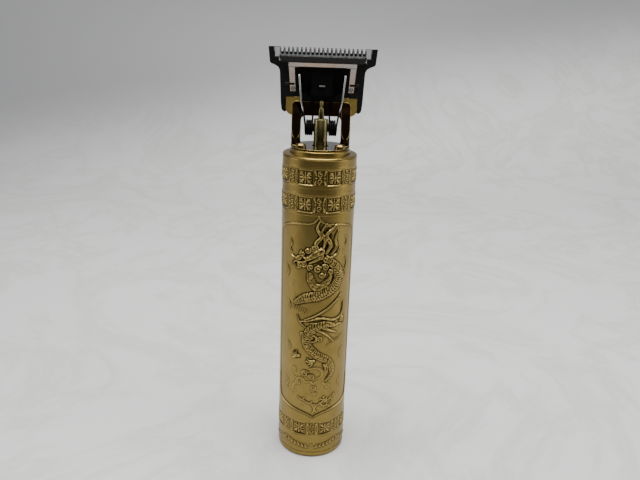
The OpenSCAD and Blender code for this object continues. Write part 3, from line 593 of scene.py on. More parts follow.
def smooth_path(points: Sequence[Sequence[float]], steps: int = 6) -> np.ndarray:
    """Smooth curve through the points: a Catmull-Rom cubic between each pair of neighbours.

    Args:
        points: Points of any dimension.
        steps: Stretches between two points.

    Returns:
        Points on the curve, one row each.
    """
    p = np.asarray(points, float)
    if len(p) < 3:
        return p
    padded = np.vstack([p[:1], p, p[-1:]])
    a, b, c, d = padded[:-3], padded[1:-2], padded[2:-1], padded[3:]
    t = (np.arange(steps) / steps)[None, :, None]
    a, b, c, d = (q[:, None, :] for q in (a, b, c, d))
    curve = 0.5 * (
        2 * b + (c - a) * t + (2 * a - 5 * b + 4 * c - d) * t**2 + (3 * b - a - 3 * c + d) * t**3
    )
    return np.vstack([curve.reshape(-1, p.shape[1]), p[-1:]])


def turned(profile: Path, sides: int = 96) -> tuple[np.ndarray, list[np.ndarray]]:
    """Surface of revolution: each profile point (r, z) goes round the Z axis.

    A profile that starts or ends on the axis is closed there by a fan; any other is closed on
    itself, its last point joined to its first.

    Args:
        profile: Radius and height of each point. The outside is to the right of the way along.
        sides: Points round the axis.

    Returns:
        Points and face arrays.
    """
    p = np.asarray(profile, float)
    angle = np.arange(sides) * 2 * math.pi / sides
    if p[0, 0] < 1e-6 and p[-1, 0] < 1e-6:
        rim = p[1:-1]
        ring = np.stack(
            [np.outer(rim[:, 0], np.sin(angle)), -np.outer(rim[:, 0], np.cos(angle)),
             np.repeat(rim[:, 1:2], sides, 1)], 2,
        ).reshape(-1, 3)
        points = np.vstack([ring, [[0, 0, p[0, 1]], [0, 0, p[-1, 1]]]])
        last = (len(rim) - 1) * sides
        j = np.arange(sides)
        k = (j + 1) % sides
        low = np.stack([np.full(sides, len(points) - 2), k, j], 1)
        high = np.stack([np.full(sides, len(points) - 1), last + j, last + k], 1)
        return points, [grid_faces(len(rim), sides, True), low, high]
    loop = np.vstack([p, p[:1]])
    points = np.stack(
        [np.outer(p[:, 0], np.sin(angle)), -np.outer(p[:, 0], np.cos(angle)),
         np.repeat(p[:, 1:2], sides, 1)], 2,
    ).reshape(-1, 3)
    faces = grid_faces(len(loop), sides, True) % len(points)
    return points, [faces]


def rounded(profile: Path, radii: Sequence[float], steps: int = 4) -> np.ndarray:
    """Profile whose corners are cut by arcs that touch both of their sides.

    Args:
        profile: Corner points.
        radii: Radius at each corner, 0 to keep it sharp.
        steps: Stretches in each arc.

    Returns:
        The points of the rounded profile.
    """
    p = np.asarray(profile, float)
    made: list[np.ndarray] = []
    for i, r in enumerate(radii):
        if r <= 0:
            made.append(p[i : i + 1])
            continue
        a, b, c = p[i - 1], p[i], p[(i + 1) % len(p)]
        u, v = (a - b) / np.linalg.norm(a - b), (c - b) / np.linalg.norm(c - b)
        half = math.acos(float(np.clip(u @ v, -1, 1))) / 2
        reach = min(r / math.tan(half), 0.48 * min(np.linalg.norm(a - b), np.linalg.norm(c - b)))
        t = np.linspace(0, 1, steps + 1)[:, None]
        start, end = b + u * reach, b + v * reach
        made.append((1 - t) ** 2 * start + 2 * t * (1 - t) * b + t**2 * end)
    return np.vstack(made)


def tube(path: np.ndarray, radius: float, sides: int = 12) -> tuple[np.ndarray, list[np.ndarray]]:
    """Round wire: a circle carried along a path, square to it, with domed ends.

    Each circle keeps the least turn against the one before: the side vector is freed of its part
    along the path and made one long again.

    Args:
        path: Points of the wire's middle line.
        radius: Radius of the wire.
        sides: Points round the wire.

    Returns:
        Points and face arrays.
    """
    ahead = np.gradient(path, axis=0)
    ahead /= np.linalg.norm(ahead, axis=1, keepdims=True)
    side = np.zeros_like(path)
    start = np.cross(ahead[0], [0.0, 0.0, 1.0] if abs(ahead[0, 2]) < 0.9 else [0.0, 1.0, 0.0])
    side[0] = start / np.linalg.norm(start)
    for i in range(1, len(path)):
        free = side[i - 1] - (side[i - 1] @ ahead[i]) * ahead[i]
        side[i] = free / np.linalg.norm(free)
    other = np.cross(ahead, side)
    dome = np.radians([25.0, 55.0, 80.0])
    past, small = radius * np.sin(dome)[:, None], radius * np.cos(dome)
    middles = np.vstack([(path[0] - ahead[0] * past)[::-1], path, path[-1] + ahead[-1] * past])
    sizes = np.concatenate([small[::-1], np.full(len(path), radius), small])
    pick = np.clip(np.arange(len(middles)) - len(dome), 0, len(path) - 1)
    angle = np.arange(sides) * 2 * math.pi / sides
    ring = (
        middles[:, None]
        + sizes[:, None, None]
        * (np.cos(angle)[None, :, None] * side[pick][:, None]
           + np.sin(angle)[None, :, None] * other[pick][:, None])
    )
    count = len(middles)
    ends = [np.arange(sides)[None, ::-1], ((count - 1) * sides + np.arange(sides))[None, :]]
    return ring.reshape(-1, 3), [grid_faces(count, sides, True), *ends]


def softened(
    node: str, width: float, body: str, finish: Finish,
    angle_deg: float = 30.0, painted_light_rounds: Optional[Finish] = None,
) -> bpy.types.Object:
    """Piece with a CAD node's shape and small rounds along its edges.

    The loose triangles are merged, flat neighbours are joined, and a bevel of two faces rounds what
    is left. The piece is named for its node, with "_edged" after it.

    Args:
        node: CAD node to stand for.
        width: Width of the rounds in millimetres.
        body: CAD body.
        finish: Finish of the piece.
        angle_deg: Edges that turn by less are left alone.
        painted_light_rounds: Finish of the rounds themselves, which carries painted light along the
            edges; the piece's own if left out.

    Returns:
        The new object.
    """
    mesh = frame["nodes"][node].data.copy()
    mesh.materials.clear()
    form = bmesh.new()
    form.from_mesh(mesh)
    bmesh.ops.remove_doubles(form, verts=form.verts, dist=1e-6)
    flat = math.radians(0.2)
    bmesh.ops.dissolve_limit(form, angle_limit=flat, verts=form.verts, edges=form.edges)
    form.to_mesh(mesh)
    form.free()
    normals = mesh.attributes.get("custom_normal")
    if normals:
        mesh.attributes.remove(normals)
    mesh.shade_smooth()
    mesh.set_sharp_from_angle(angle=math.radians(angle_deg))
    mesh.materials.append(finish.material())
    piece = bpy.data.objects.new(node + "_edged", mesh)
    bpy.context.scene.collection.objects.link(piece)
    bevel = piece.modifiers.new("edge_rounds", "BEVEL")
    bevel.width = width * MM
    bevel.segments = 2
    bevel.limit_method = "ANGLE"
    bevel.angle_limit = math.radians(angle_deg)
    bevel.harden_normals = True
    # Clamped to its shortest edges a piece with painted edge lines would lose its rounds
    bevel.use_clamp_overlap = not painted_light_rounds
    if painted_light_rounds:
        mesh.materials.append(painted_light_rounds.material())
        bevel.material = 1
    return hang(piece, body, (node,))


# ------------------------------------------------------------------ relief


class Crown(Enum):
    """Cross-section of a raised stroke."""

    ROUND = "half a circle, steep at its sides"
    FLAT = "flat top with rounded shoulders"
    RIDGE = "two slopes that meet in a line"


class Blend(Enum):
    """How a stroke meets what is already on the wall."""

    OVER = "the higher of the two stays"
    ADD = "it rides on top of what is there"
    CUT = "it is cut into what is there"


def box_mean(field_values: np.ndarray, half: int) -> np.ndarray:
    """Mean over a square window of 2 * half + 1 points, from two running sums.

    Args:
        field_values: Values on a grid.
        half: Points on each side of the middle one.

    Returns:
        The smoothed grid.
    """
    size = 2 * half + 1
    smooth = field_values
    for axis in (0, 1):
        pads = [(0, 0), (0, 0)]
        pads[axis] = (half + 1, half)
        run = np.cumsum(np.pad(smooth, pads, mode="edge"), axis=axis)
        smooth = (np.take(run, range(size, run.shape[axis]), axis) -
                  np.take(run, range(0, run.shape[axis] - size), axis)) / size
    return smooth


@dataclass
class ReliefField:
    """Height of a relief over an unrolled wall, in millimetres.

    Attributes:
        across: Places along the wall's arc; 0 is the front and the right is positive.
        up: Heights above the base.
    """

    across: np.ndarray
    up: np.ndarray
    height: np.ndarray = field(init=False)

    def __post_init__(self) -> None:
        """Starts with a plain wall."""
        self.height = np.zeros((len(self.up), len(self.across)))

    def window(self, low: np.ndarray, high: np.ndarray) -> tuple[slice, slice]:
        """Rows and columns of the grid inside a box.

        Args:
            low: Smallest place across and up.
            high: Largest place across and up.

        Returns:
            Row slice and column slice.
        """
        i0, i1 = np.searchsorted(self.up, [low[1], high[1]])
        j0, j1 = np.searchsorted(self.across, [low[0], high[0]])
        return slice(i0, i1), slice(j0, j1)

    def stroke(
        self,
        path: Sequence[Sequence[float]],
        radii: Sequence[float],
        height: float,
        crown: Crown = Crown.ROUND,
        blend: Blend = Blend.OVER,
        steps: int = 6,
    ) -> None:
        """Lays a stroke of changing width along a smooth path.

        The distance to each stretch of the path is divided by the stroke's radius there, and the
        least of these, from 0 on the middle line to 1 at the side, gives the height through the
        crown's formula.

        Args:
            path: Points across and up.
            radii: Half widths, spread evenly over the path's length.
            height: Height over the wall.
            crown: Cross-section.
            blend: How it meets what is there.
            steps: Stretches between two points.
        """
        line = smooth_path(path, steps)
        width = np.interp(np.linspace(0, 1, len(line)), np.linspace(0, 1, len(radii)), radii)
        reach = float(np.max(radii))
        rows, columns = self.window(line.min(0) - reach, line.max(0) + reach)
        if rows.stop <= rows.start or columns.stop <= columns.start:
            return
        s, z = np.meshgrid(self.across[columns], self.up[rows])
        share = np.full(s.shape, 9.0)
        for k in range(max(len(line) - 1, 1)):
            a, b = line[k], line[min(k + 1, len(line) - 1)]
            d = b - a
            t = np.clip(((s - a[0]) * d[0] + (z - a[1]) * d[1]) / max(float(d @ d), 1e-9), 0, 1)
            r = width[k] + (width[min(k + 1, len(line) - 1)] - width[k]) * t
            share = np.minimum(share, np.hypot(s - a[0] - t * d[0], z - a[1] - t * d[1]) / r)
        inside = np.clip(share, 0, 1)
        if crown is Crown.ROUND:
            shape = np.sqrt(1 - inside**2)
        elif crown is Crown.FLAT:
            edge = np.clip((1 - inside) / 0.35, 0, 1)
            shape = edge * edge * (3 - 2 * edge)
        else:
            shape = 1 - inside
        part = self.height[rows, columns]
        if blend is Blend.OVER:
            made = np.maximum(part, height * shape)
        elif blend is Blend.ADD:
            made = part + height * shape
        else:
            made = part - height * shape
        self.height[rows, columns] = np.where(share < 1, made, part)

    def spiral(
        self, centre: tuple[float, float], radius: float, turns: float, start_deg: float,
        width: float = 0.42, height: float = 0.42,
    ) -> None:
        """Lays a curl: the radius falls evenly to a fifth while the angle turns.

        Args:
            centre: Place of the curl's eye.
            radius: Outer radius; a negative number turns it the other way.
            turns: Number of turns.
            start_deg: Angle where it starts.
            width: Half width of the stroke at its start.
            height: Height over the wall.
        """
        t = np.linspace(0, 1, int(10 * turns) + 2)
        angle = math.radians(start_deg) + math.copysign(2 * math.pi * turns, radius) * t
        r = abs(radius) * (1 - 0.8 * t)
        path = np.stack([centre[0] + r * np.cos(angle), centre[1] + r * np.sin(angle)], 1)
        self.stroke(path, [width, width * 0.75, width * 0.9], height, steps=2)

    def dot(self, place: tuple[float, float], radius: float, height: float) -> None:
        """Lays a round bead."""
        self.stroke([place, (place[0] + 0.01, place[1])], [radius, radius], height, steps=1)

    def sink(self, s: tuple[float, float], z: tuple[float, float], depth: float) -> None:
        """Lowers the ground of a rectangle, which the hollow value darkens with patina and painted
        shade.

        Args:
            s: First and last place across.
            z: Lower and upper edge.
            depth: How far it is lowered.
        """
        rows, columns = self.window(np.array([s[0], z[0]]), np.array([s[1], z[1]]))
        self.height[rows, columns] -= depth

    def ribs(
        self, path: Sequence[Sequence[float]], radii: Sequence[float], pitch: float,
        height: float, lean: float = 0.35,
    ) -> None:
        """Lays bent ribs across a stroke, like the belly plates of a snake.

        Args:
            path: Points of the stroke's middle line.
            radii: Half widths of the stroke.
            pitch: Distance between ribs.
            height: Height over the stroke.
            lean: How far the middle of a rib runs ahead of its ends, in half widths.
        """
        line = smooth_path(path, 8)
        step = np.linalg.norm(np.diff(line, axis=0), axis=1)
        length = np.concatenate([[0], np.cumsum(step)])
        width = np.interp(length / length[-1], np.linspace(0, 1, len(radii)), radii)
        for place in np.arange(pitch / 2, length[-1], pitch):
            centre = np.array([np.interp(place, length, line[:, k]) for k in (0, 1)])
            ahead = np.array([np.interp(place + 0.1, length, line[:, k]) for k in (0, 1)]) - centre
            norm = np.linalg.norm(ahead)
            if norm < 1e-6:
                continue
            ahead /= norm
            side = np.array([-ahead[1], ahead[0]])
            half = float(np.interp(place, length, width)) * 0.92
            rib = [centre + side * half * k + ahead * half * lean * (1 - k * k) for k in
                   (-1.0, -0.5, 0.0, 0.5, 1.0)]
            self.stroke(rib, [0.16, 0.26, 0.26, 0.16], height, Crown.ROUND, Blend.ADD, 2)

    def chase(self, seed: int, share: float, size: float) -> None:
        """Roughens what is raised, as a chaser's punch does.

        The height is multiplied by 1 plus the share times a mean of twelve plane waves with
        seeded directions and phases.

        Args:
            seed: Seed of the waves.
            share: Largest change as a share of the height.
            size: Length of a wave in millimetres.
        """
        dice = np.random.default_rng(seed)
        s, z = np.meshgrid(self.across, self.up)
        waves = np.zeros_like(s)
        for turn, phase, stretch in dice.uniform((0, 0, 0.6), (math.pi, 2 * math.pi, 1.7), (12, 3)):
            along = s * math.cos(turn) + z * math.sin(turn)
            waves += np.sin(along * 2 * math.pi / (size * stretch) + phase)
        self.height *= 1 + share * np.clip(waves / 4, -1, 1)

    def settle(self, low: float, high: float, share: float) -> None:
        """Makes the relief shallower downwards.

        Args:
            low: Height below which only the share of the relief is left.
            high: Height above which all of it is left.
            share: That share.
        """
        rise = np.clip((self.up - low) / (high - low), 0, 1)
        self.height *= (share + (1 - share) * rise * rise * (3 - 2 * rise))[:, None]

    def flatten(self, centre: tuple[float, float], half: tuple[float, float], fade: float) -> None:
        """Fades the relief out over a rounded rectangle.

        Args:
            centre: Middle of the rectangle.
            half: Half width and half height.
            fade: Width of the slope around it.
        """
        s, z = np.meshgrid(self.across, self.up)
        out = np.hypot(np.maximum(np.abs(s - centre[0]) - half[0], 0),
                       np.maximum(np.abs(z - centre[1]) - half[1], 0))
        self.height *= np.clip(out / fade, 0, 1)

    def dress(self, spacing: float) -> dict[str, np.ndarray]:
        """Hollow and crest values of the surface, from its height against its surroundings.

        Where the mean height around a point is above it, it lies in a hollow and is darkened with
        patina and painted shade; where it is below, the point is a crest that handling polishes. The
        two means reach 0.45 and 0.9 mm to each side.

        Args:
            spacing: Distance between grid points.

        Returns:
            The two values, 0 to 1, one per point.
        """
        near = box_mean(self.height, max(1, round(0.45 / spacing)))
        wide = box_mean(self.height, max(2, round(0.9 / spacing)))
        # Painted shade with patina: darker where the wall lies below its surroundings or sinks under
        # the plain wall
        hollow = np.clip((0.6 * near + 0.4 * wide - self.height) / 0.09, 0, 1)
        hollow = np.maximum(hollow, 0.8 * np.clip(-self.height / 0.14, 0, 1))
        crest = np.clip((self.height - near) / 0.1, 0, 1)
        return {"hollow": hollow.ravel(), "crest": crest.ravel()}


@dataclass
class KnotBand:
    """Band of square rosettes and narrow knots over a plain line.

    Attributes:
        low: Lower edge of the units.
        high: Upper edge of the units.
        repeats: Pairs of units round the wall.
        turn: Place of the middle of the front knot.
        line: Half width of the drawn lines.
        raised: Height of the drawn lines.
        inset: Depth of the whole band under the plain wall.
    """

    low: float
    high: float
    repeats: int = 8
    turn: float = 0.4
    line: float = 0.18
    raised: float = 0.2
    inset: float = 0.02

    def draw(self, relief: ReliefField, round_length: float) -> None:
        """Draws the band all the way round.

        Args:
            relief: Field that covers the whole round.
            round_length: Length of the wall's round.
        """
        pitch = round_length / self.repeats
        for k in range(-1, self.repeats + 1):
            middle = self.turn + (k - self.repeats // 2) * pitch
            self.rosette(relief, middle - pitch / 2, 2.85)
            self.knot(relief, middle, pitch / 2 - 3.1)
        inside = (relief.up > self.low - 0.35) & (relief.up < self.high + 0.35)
        relief.height[inside] -= self.inset

    def rosette(self, relief: ReliefField, s: float, half: float) -> None:
        """Square frame with eight petals and a bead inside.

        Args:
            relief: Field to draw on.
            s: Middle of the unit.
            half: Half width of the unit.
        """
        z = (self.low + self.high) / 2
        tall = (self.high - self.low) / 2
        relief.sink((s - half, s + half), (z - tall, z + tall), 0.07)
        relief.stroke([(s - half, z - tall), (s + half, z - tall)], [self.line] * 2,
                      self.raised * 1.2, Crown.FLAT, steps=1)
        relief.stroke([(s - half, z + tall), (s + half, z + tall)], [self.line] * 2,
                      self.raised * 0.35, Crown.FLAT, steps=1)
        for side in (-1, 1):
            edge = s + side * (half - 0.1)
            relief.sink((edge - 0.17, edge + 0.17), (z - tall, z + tall), 0.2)
        for k in range(8):
            angle = math.radians(45 * k)
            long = 0.86 * min(half, tall) * (1.12 if k % 2 else 0.86)
            ahead = np.array([math.cos(angle), math.sin(angle)])
            middle = np.array([s, z])
            path = [middle + ahead * long * share for share in (0.3, 0.65, 1.0)]
            relief.stroke(path, [0.16, 0.42 if k % 2 else 0.34, 0.12], self.raised * 1.1, steps=4)
            if k % 2:
                side = np.array([-ahead[1], ahead[0]]) * 0.62
                for way in (-1, 1):
                    tip = middle + ahead * long * 0.78 + side * way
                    relief.dot((tip[0], tip[1]), 0.2, self.raised * 0.9)
        relief.dot((s, z), 0.42, self.raised * 1.15)

    def knot(self, relief: ReliefField, s: float, half: float) -> None:
        """Two small curls, one over the other, with a bead between and a leaf in each corner.

        Args:
            relief: Field to draw on.
            s: Middle of the unit.
            half: Half width of the unit.
        """
        z = (self.low + self.high) / 2
        tall = (self.high - self.low) / 2
        relief.sink((s - half, s + half), (z - tall, z + tall), 0.05)
        for way in (-1, 1):
            relief.spiral((s, z + way * tall * 0.46), way * half * 0.42, 1.1, 100 * way, 0.2,
                          self.raised * 1.1)
            for side in (-1, 1):
                root = (s + side * half * 0.78, z + way * tall * 0.84)
                leaf = (s + side * half * 0.6, z + way * tall * 0.36)
                relief.stroke([root, leaf], [0.36, 0.14], self.raised, steps=2)
            relief.dot((s + way * half * 0.62, z), 0.26, self.raised)
        relief.dot((s, z), 0.3, self.raised * 1.2)


@dataclass
class LaurelBand:
    """Garland of leaf pairs near the foot, with beads where two garlands meet.

    Attributes:
        height: Height of the stem's lowest point.
        sprays: Garlands round the wall.
        turn: Place of the front bead.
    """

    height: float = 4.7
    sprays: int = 8
    turn: float = 0.2

    def draw(self, relief: ReliefField, round_length: float) -> None:
        """Draws the garland all the way round.

        Args:
            relief: Field that covers the whole round.
            round_length: Length of the wall's round.
        """
        reach = round_length / self.sprays
        for k in range(-self.sprays // 2 - 1, self.sprays // 2 + 2):
            way = 1 if k % 2 == 0 else -1
            root = self.turn + (k + (0 if way > 0 else 1)) * reach
            if k % 2 == 0:
                relief.dot((root, self.height + 1.5), 0.42, 0.3)
            stem = [(root + way * reach * t, self.height + 2.3 * t * t + 0.2) for t in
                    (0.08, 0.35, 0.65, 0.93)]
            relief.stroke(stem, [0.17, 0.13], 0.22, steps=5)
            for n in range(6):
                t = 0.16 + 0.14 * n
                foot = np.array([root + way * reach * t, self.height + 2.3 * t * t + 0.2])
                for lift in (1.0, -0.55):
                    tip = foot + np.array([way * 1.25, 0.85 * lift + 0.45])
                    belly = (foot + tip) / 2 + np.array([0, 0.2 * lift])
                    relief.stroke([foot, belly, tip], [0.12, 0.36, 0.08], 0.28, steps=4)


@dataclass
class SerpentPanel:
    """Tall panel inside an ogee outline: a scaled serpent that winds down through curling clouds.

    Places are measured from the panel's middle line.

    Attributes:
        middle: Place of the panel's middle line on the wall.
        top: Height of the outline's upper point.
        bottom: Height of the outline's lower point.
        half: Half width of the outline.
        way: 1, or -1 for the mirrored panel.
        seed: Seed of the chasing marks.
        chased: Largest change of the height by those marks, as a share of it.
        chase_mm: Length of one of them.
        shallow: Heights between which the relief grows to its full height.
        shallow_share: Share of its height that is left below them.
    """

    middle: float = 0.4
    top: float = 104.9
    bottom: float = 19.4
    half: float = 17.6
    way: int = 1
    seed: int = 5
    chased: float = 0.22
    chase_mm: float = 1.7
    shallow: tuple[float, float] = (38.0, 74.0)
    shallow_share: float = 0.55

    def at(self, points: Path) -> list[tuple[float, float]]:
        """Turns the panel's own places to places on the wall."""
        return [(self.middle + self.way * s, z) for s, z in points]

    def draw(self, relief: ReliefField) -> None:
        """Draws the outline and everything inside it.

        Args:
            relief: Field to draw on.
        """
        self.clouds(relief)
        self.strands(relief)
        self.coils(relief)
        self.sprigs(relief)
        self.mane(relief)
        self.head(relief)
        relief.chase(self.seed, self.chased, self.chase_mm)
        relief.settle(*self.shallow, self.shallow_share)
        self.claws(relief)
        self.outline(relief)

    def outline(self, relief: ReliefField) -> None:
        """Raised ogee line, thicker and higher along its lower corners."""
        for side in (-1, 1):
            upper = [(0, self.top), (side * 1.2, self.top - 1.5), (side * 3.0, self.top - 2.6),
                     (side * 7.0, self.top - 3.0), (side * 12.5, self.top - 4.0),
                     (side * 16.4, self.top - 5.8), (side * self.half, self.top - 9.5),
                     (side * self.half, self.top - 20)]
            relief.stroke(self.at(upper), [0.22, 0.2, 0.2], 0.22, Crown.ROUND, steps=6)
            lower = [(side * self.half, self.bottom + 16), (side * self.half, self.bottom + 9.5),
                     (side * (self.half - 1.6), self.bottom + 5.4), (side * 12.0, self.bottom + 3.9),
                     (side * 7.5, self.bottom + 3.0), (side * 3.2, self.bottom + 1.9),
                     (side * 1.1, self.bottom + 0.9), (0, self.bottom)]
            relief.stroke(self.at(lower), [0.26, 0.5, 0.46, 0.26, 0.22], 0.42, Crown.ROUND, steps=6)
            relief.stroke(
                self.at([(side * self.half, self.bottom + 14), (side * self.half, self.top - 18)]),
                [0.22, 0.22], 0.24, Crown.ROUND, steps=1,
            )

    def mane(self, relief: ReliefField) -> None:
        """Flames above the head over a dark hollow, and tight curls around it."""
        relief.stroke(self.at([(1.0, 90.5), (3.0, 95.5), (3.6, 100.2)]), [2.6, 2.8, 1.4], 0.22,
                      Crown.FLAT, Blend.CUT)
        relief.stroke(self.at([(-6.0, 87.6), (-1.0, 89.4), (4.6, 86.4)]), [2.0, 3.0, 2.2], 0.16,
                      Crown.FLAT, Blend.CUT)
        flames: list[tuple[Path, float]] = [
            ([(1.0, 91.0), (-0.8, 94.4), (1.2, 97.4), (-0.5, 100.4), (0.4, 103.4)], 0.78),
            ([(3.2, 91.0), (4.8, 94.4), (3.0, 97.8), (5.4, 100.4), (6.8, 102.2)], 0.85),
            ([(5.2, 90.4), (7.2, 93.4), (6.6, 96.6), (7.8, 99.8)], 0.62),
            ([(2.0, 93.0), (2.6, 96.4), (1.2, 99.2), (2.9, 102.6)], 0.6),
            ([(4.6, 88.8), (7.4, 90.4), (8.6, 92.8)], 0.5),
        ]
        for path, width in flames:
            relief.stroke(self.at(path), [width * 0.7, width, width * 0.7, 0.12], 0.66)
            relief.stroke(self.at(path), [0.16, 0.2, 0.06], 0.26, Crown.RIDGE, Blend.CUT)
        curls = [
            (-1.6, 92.8, 1.15, 210), (-3.8, 91.8, -1.2, 30), (-5.8, 90.4, 1.1, 120),
            (0.8, 89.8, 1.3, 300), (-7.4, 88.6, -1.0, 10), (3.2, 88.4, -1.4, 80),
            (-5.0, 86.2, 1.15, 170), (-2.6, 85.2, -1.2, 250), (0.2, 84.4, 1.45, 40),
            (3.0, 85.2, -1.3, 140), (5.8, 86.6, 1.3, 200), (7.6, 84.0, -1.1, 60),
            (-7.2, 85.8, 0.9, 330), (1.8, 82.2, -1.2, 10), (5.0, 83.4, 1.1, 270),
        ]
        self.curl_all(relief, curls, 0.56)

    def curl_all(
        self, relief: ReliefField, curls: Sequence[tuple[float, float, float, float]],
        height: float,
    ) -> None:
        """Lays a group of curls.

        Args:
            relief: Field to draw on.
            curls: Place across, height, radius with its sense, and start angle of each.
            height: Height over the wall.
        """
        for s, z, radius, start in curls:
            start_deg = start if self.way > 0 else 180 - start
            relief.spiral(self.at([(s, z)])[0], self.way * radius, 1.35, start_deg,
                          0.22 + 0.1 * abs(radius), height)

    def head(self, relief: ReliefField) -> None:
        """Small snake-like head in profile with brow, jaw, nostril and whiskers."""
        relief.stroke(self.at([(1.2, 91.6), (-0.8, 90.4), (-2.8, 88.9), (-4.2, 88.2)]),
                      [1.5, 1.5, 1.0, 0.6], 0.7)
        relief.stroke(self.at([(1.4, 89.6), (-0.8, 88.0), (-3.0, 86.9)]), [0.8, 0.6, 0.3], 0.62)
        relief.stroke(self.at([(1.2, 90.0), (-1.0, 88.9), (-3.2, 87.7)]), [0.16, 0.26, 0.12], 0.6,
                      Crown.RIDGE, Blend.CUT)
        relief.stroke(self.at([(1.6, 92.6), (0.2, 92.2), (-1.4, 91.2)]), [0.24, 0.4, 0.26], 0.95)
        relief.dot(self.at([(-0.5, 90.6)])[0], 0.42, 0.98)
        relief.spiral(self.at([(-4.0, 88.9)])[0], self.way * 0.7, 1.1, 200, 0.28, 0.85)
        whiskers: list[Path] = [
            [(-4.4, 88.4), (-6.6, 89.6), (-8.4, 88.2), (-10.6, 89.2)],
            [(-4.4, 87.4), (-6.8, 86.8), (-8.6, 87.0), (-10.4, 85.6)],
        ]
        for path in whiskers:
            relief.stroke(self.at(path), [0.3, 0.26, 0.3, 0.12], 0.6)

    def clouds(self, relief: ReliefField) -> None:
        """Curls, cloud banks and hooks at the sides and under the coils."""
        self.curl_all(relief, [
            (-0.8, 55.6, 2.4, 80), (-5.0, 57.0, -1.1, 10), (1.8, 55.0, -1.2, 200),
            (-3.6, 39.6, 1.5, 30), (-1.0, 38.2, -1.3, 160),
        ], 0.5)
        self.curl_all(relief, [
            (-6.4, 35.2, 1.2, 100), (-0.2, 33.2, 1.3, 250), (0.2, 30.8, -0.9, 20),
            (-8.0, 41.0, -1.0, 300), (5.6, 33.8, -1.0, 40),
        ], 0.32)
        # Cloud banks: low lobes with a sharp upper rim
        banks: list[Path] = [
            [(-9.4, 38.4), (-7.4, 36.8), (-5.2, 37.4), (-3.0, 36.0), (-0.6, 36.4)],
            [(-2.0, 41.8), (0.8, 42.4), (3.2, 41.0), (3.0, 38.6), (0.6, 37.6)],
            [(1.4, 36.8), (0.2, 35.4), (-1.8, 36.2)],
            [(-9.0, 31.6), (-8.4, 33.8), (-6.8, 34.6)],
            [(3.4, 35.8), (4.8, 34.6), (6.4, 35.4)],
        ]
        for path in banks:
            relief.stroke(self.at(path), [0.2, 0.55, 0.5, 0.2], 0.3)
            relief.stroke(self.at(path), [0.1, 0.2, 0.2, 0.1], 0.22, Crown.RIDGE, Blend.CUT)
        hooks: list[Path] = [
            [(-11.6, 95.6), (-10.6, 93.8), (-11.4, 91.8), (-10.2, 90.4)],
            [(-9.4, 86.2), (-8.0, 84.4), (-6.4, 85.0)],
            [(12.2, 88.4), (13.0, 85.8), (12.0, 83.2), (12.8, 80.8)],
            [(-13.2, 84.2), (-12.0, 82.4), (-12.8, 80.0)],
            [(11.4, 97.0), (12.6, 95.2), (11.8, 93.2)],
            [(-12.6, 70.0), (-11.0, 68.6), (-11.8, 66.0)],
            [(-12.0, 52.6), (-10.6, 50.6), (-11.4, 48.4)],
            [(12.4, 49.8), (11.0, 47.4), (12.2, 45.0)],
            [(-12.8, 36.2), (-11.2, 34.2), (-12.0, 32.0), (-10.4, 30.4)],
            [(12.2, 36.6), (10.8, 34.4), (11.8, 32.2)],
        ]
        for path in hooks:
            relief.stroke(self.at(path), [0.12, 0.28, 0.24, 0.1], 0.34)
        arc = smooth_path([(10.6, 92.0), (11.2, 86.0), (11.0, 80.0), (10.0, 75.0), (11.2, 70.0)], 5)
        for s, z in arc:
            relief.dot(self.at([(s, z)])[0], 0.24, 0.26)
        for n in range(9):
            relief.dot(self.at([(-9.2 - 0.5 * math.sin(n), 78.5 - 1.4 * n)])[0], 0.22, 0.24)
            relief.dot(self.at([(9.8 + 0.5 * math.sin(n), 56.0 - 1.5 * n)])[0], 0.22, 0.24)

    def coils(self, relief: ReliefField) -> None:
        """The serpent's body: two S-bends, ribbed on the belly side and scaled on the back."""
        bends: list[tuple[Path, list[float]]] = [
            ([(4.2, 88.2), (7.8, 84.6), (8.8, 80.4), (6.4, 76.6), (1.4, 74.0), (-4.2, 72.4),
              (-8.2, 70.0)], [1.2, 1.9, 2.2, 2.2, 2.1, 1.9, 1.0]),
            ([(7.6, 60.6), (3.4, 61.4), (-1.8, 59.0), (-3.4, 53.4), (0.4, 48.6), (5.6, 45.0),
              (7.6, 40.4), (5.2, 36.6)], [0.8, 1.5, 1.8, 1.8, 1.7, 1.5, 1.2, 0.5]),
        ]
        for path, radii in bends:
            relief.stroke(self.at(path), radii, 0.62, Crown.ROUND, steps=8)
            relief.ribs(self.at(path), radii, 0.95, 0.26)
            relief.stroke(self.at(path), [0.3, 0.42, 0.3], 0.16, Crown.ROUND, Blend.ADD, 8)
        # Smooth shoulder between the curls and the upper bend
        relief.stroke(self.at([(-2.6, 82.2), (-1.8, 79.0), (0.6, 76.8), (3.6, 78.8), (5.2, 81.2)]),
                      [0.9, 1.5, 1.8, 1.4, 0.7], 0.5)
        relief.stroke(self.at([(-3.6, 83.0), (-3.4, 79.8), (-1.6, 76.6)]), [0.2, 0.3, 0.12], 0.55)
        relief.stroke(self.at([(5.4, 80.0), (2.0, 78.2), (-0.6, 78.6)]), [0.16, 0.3, 0.12], 0.3,
                      Crown.ROUND, Blend.ADD)

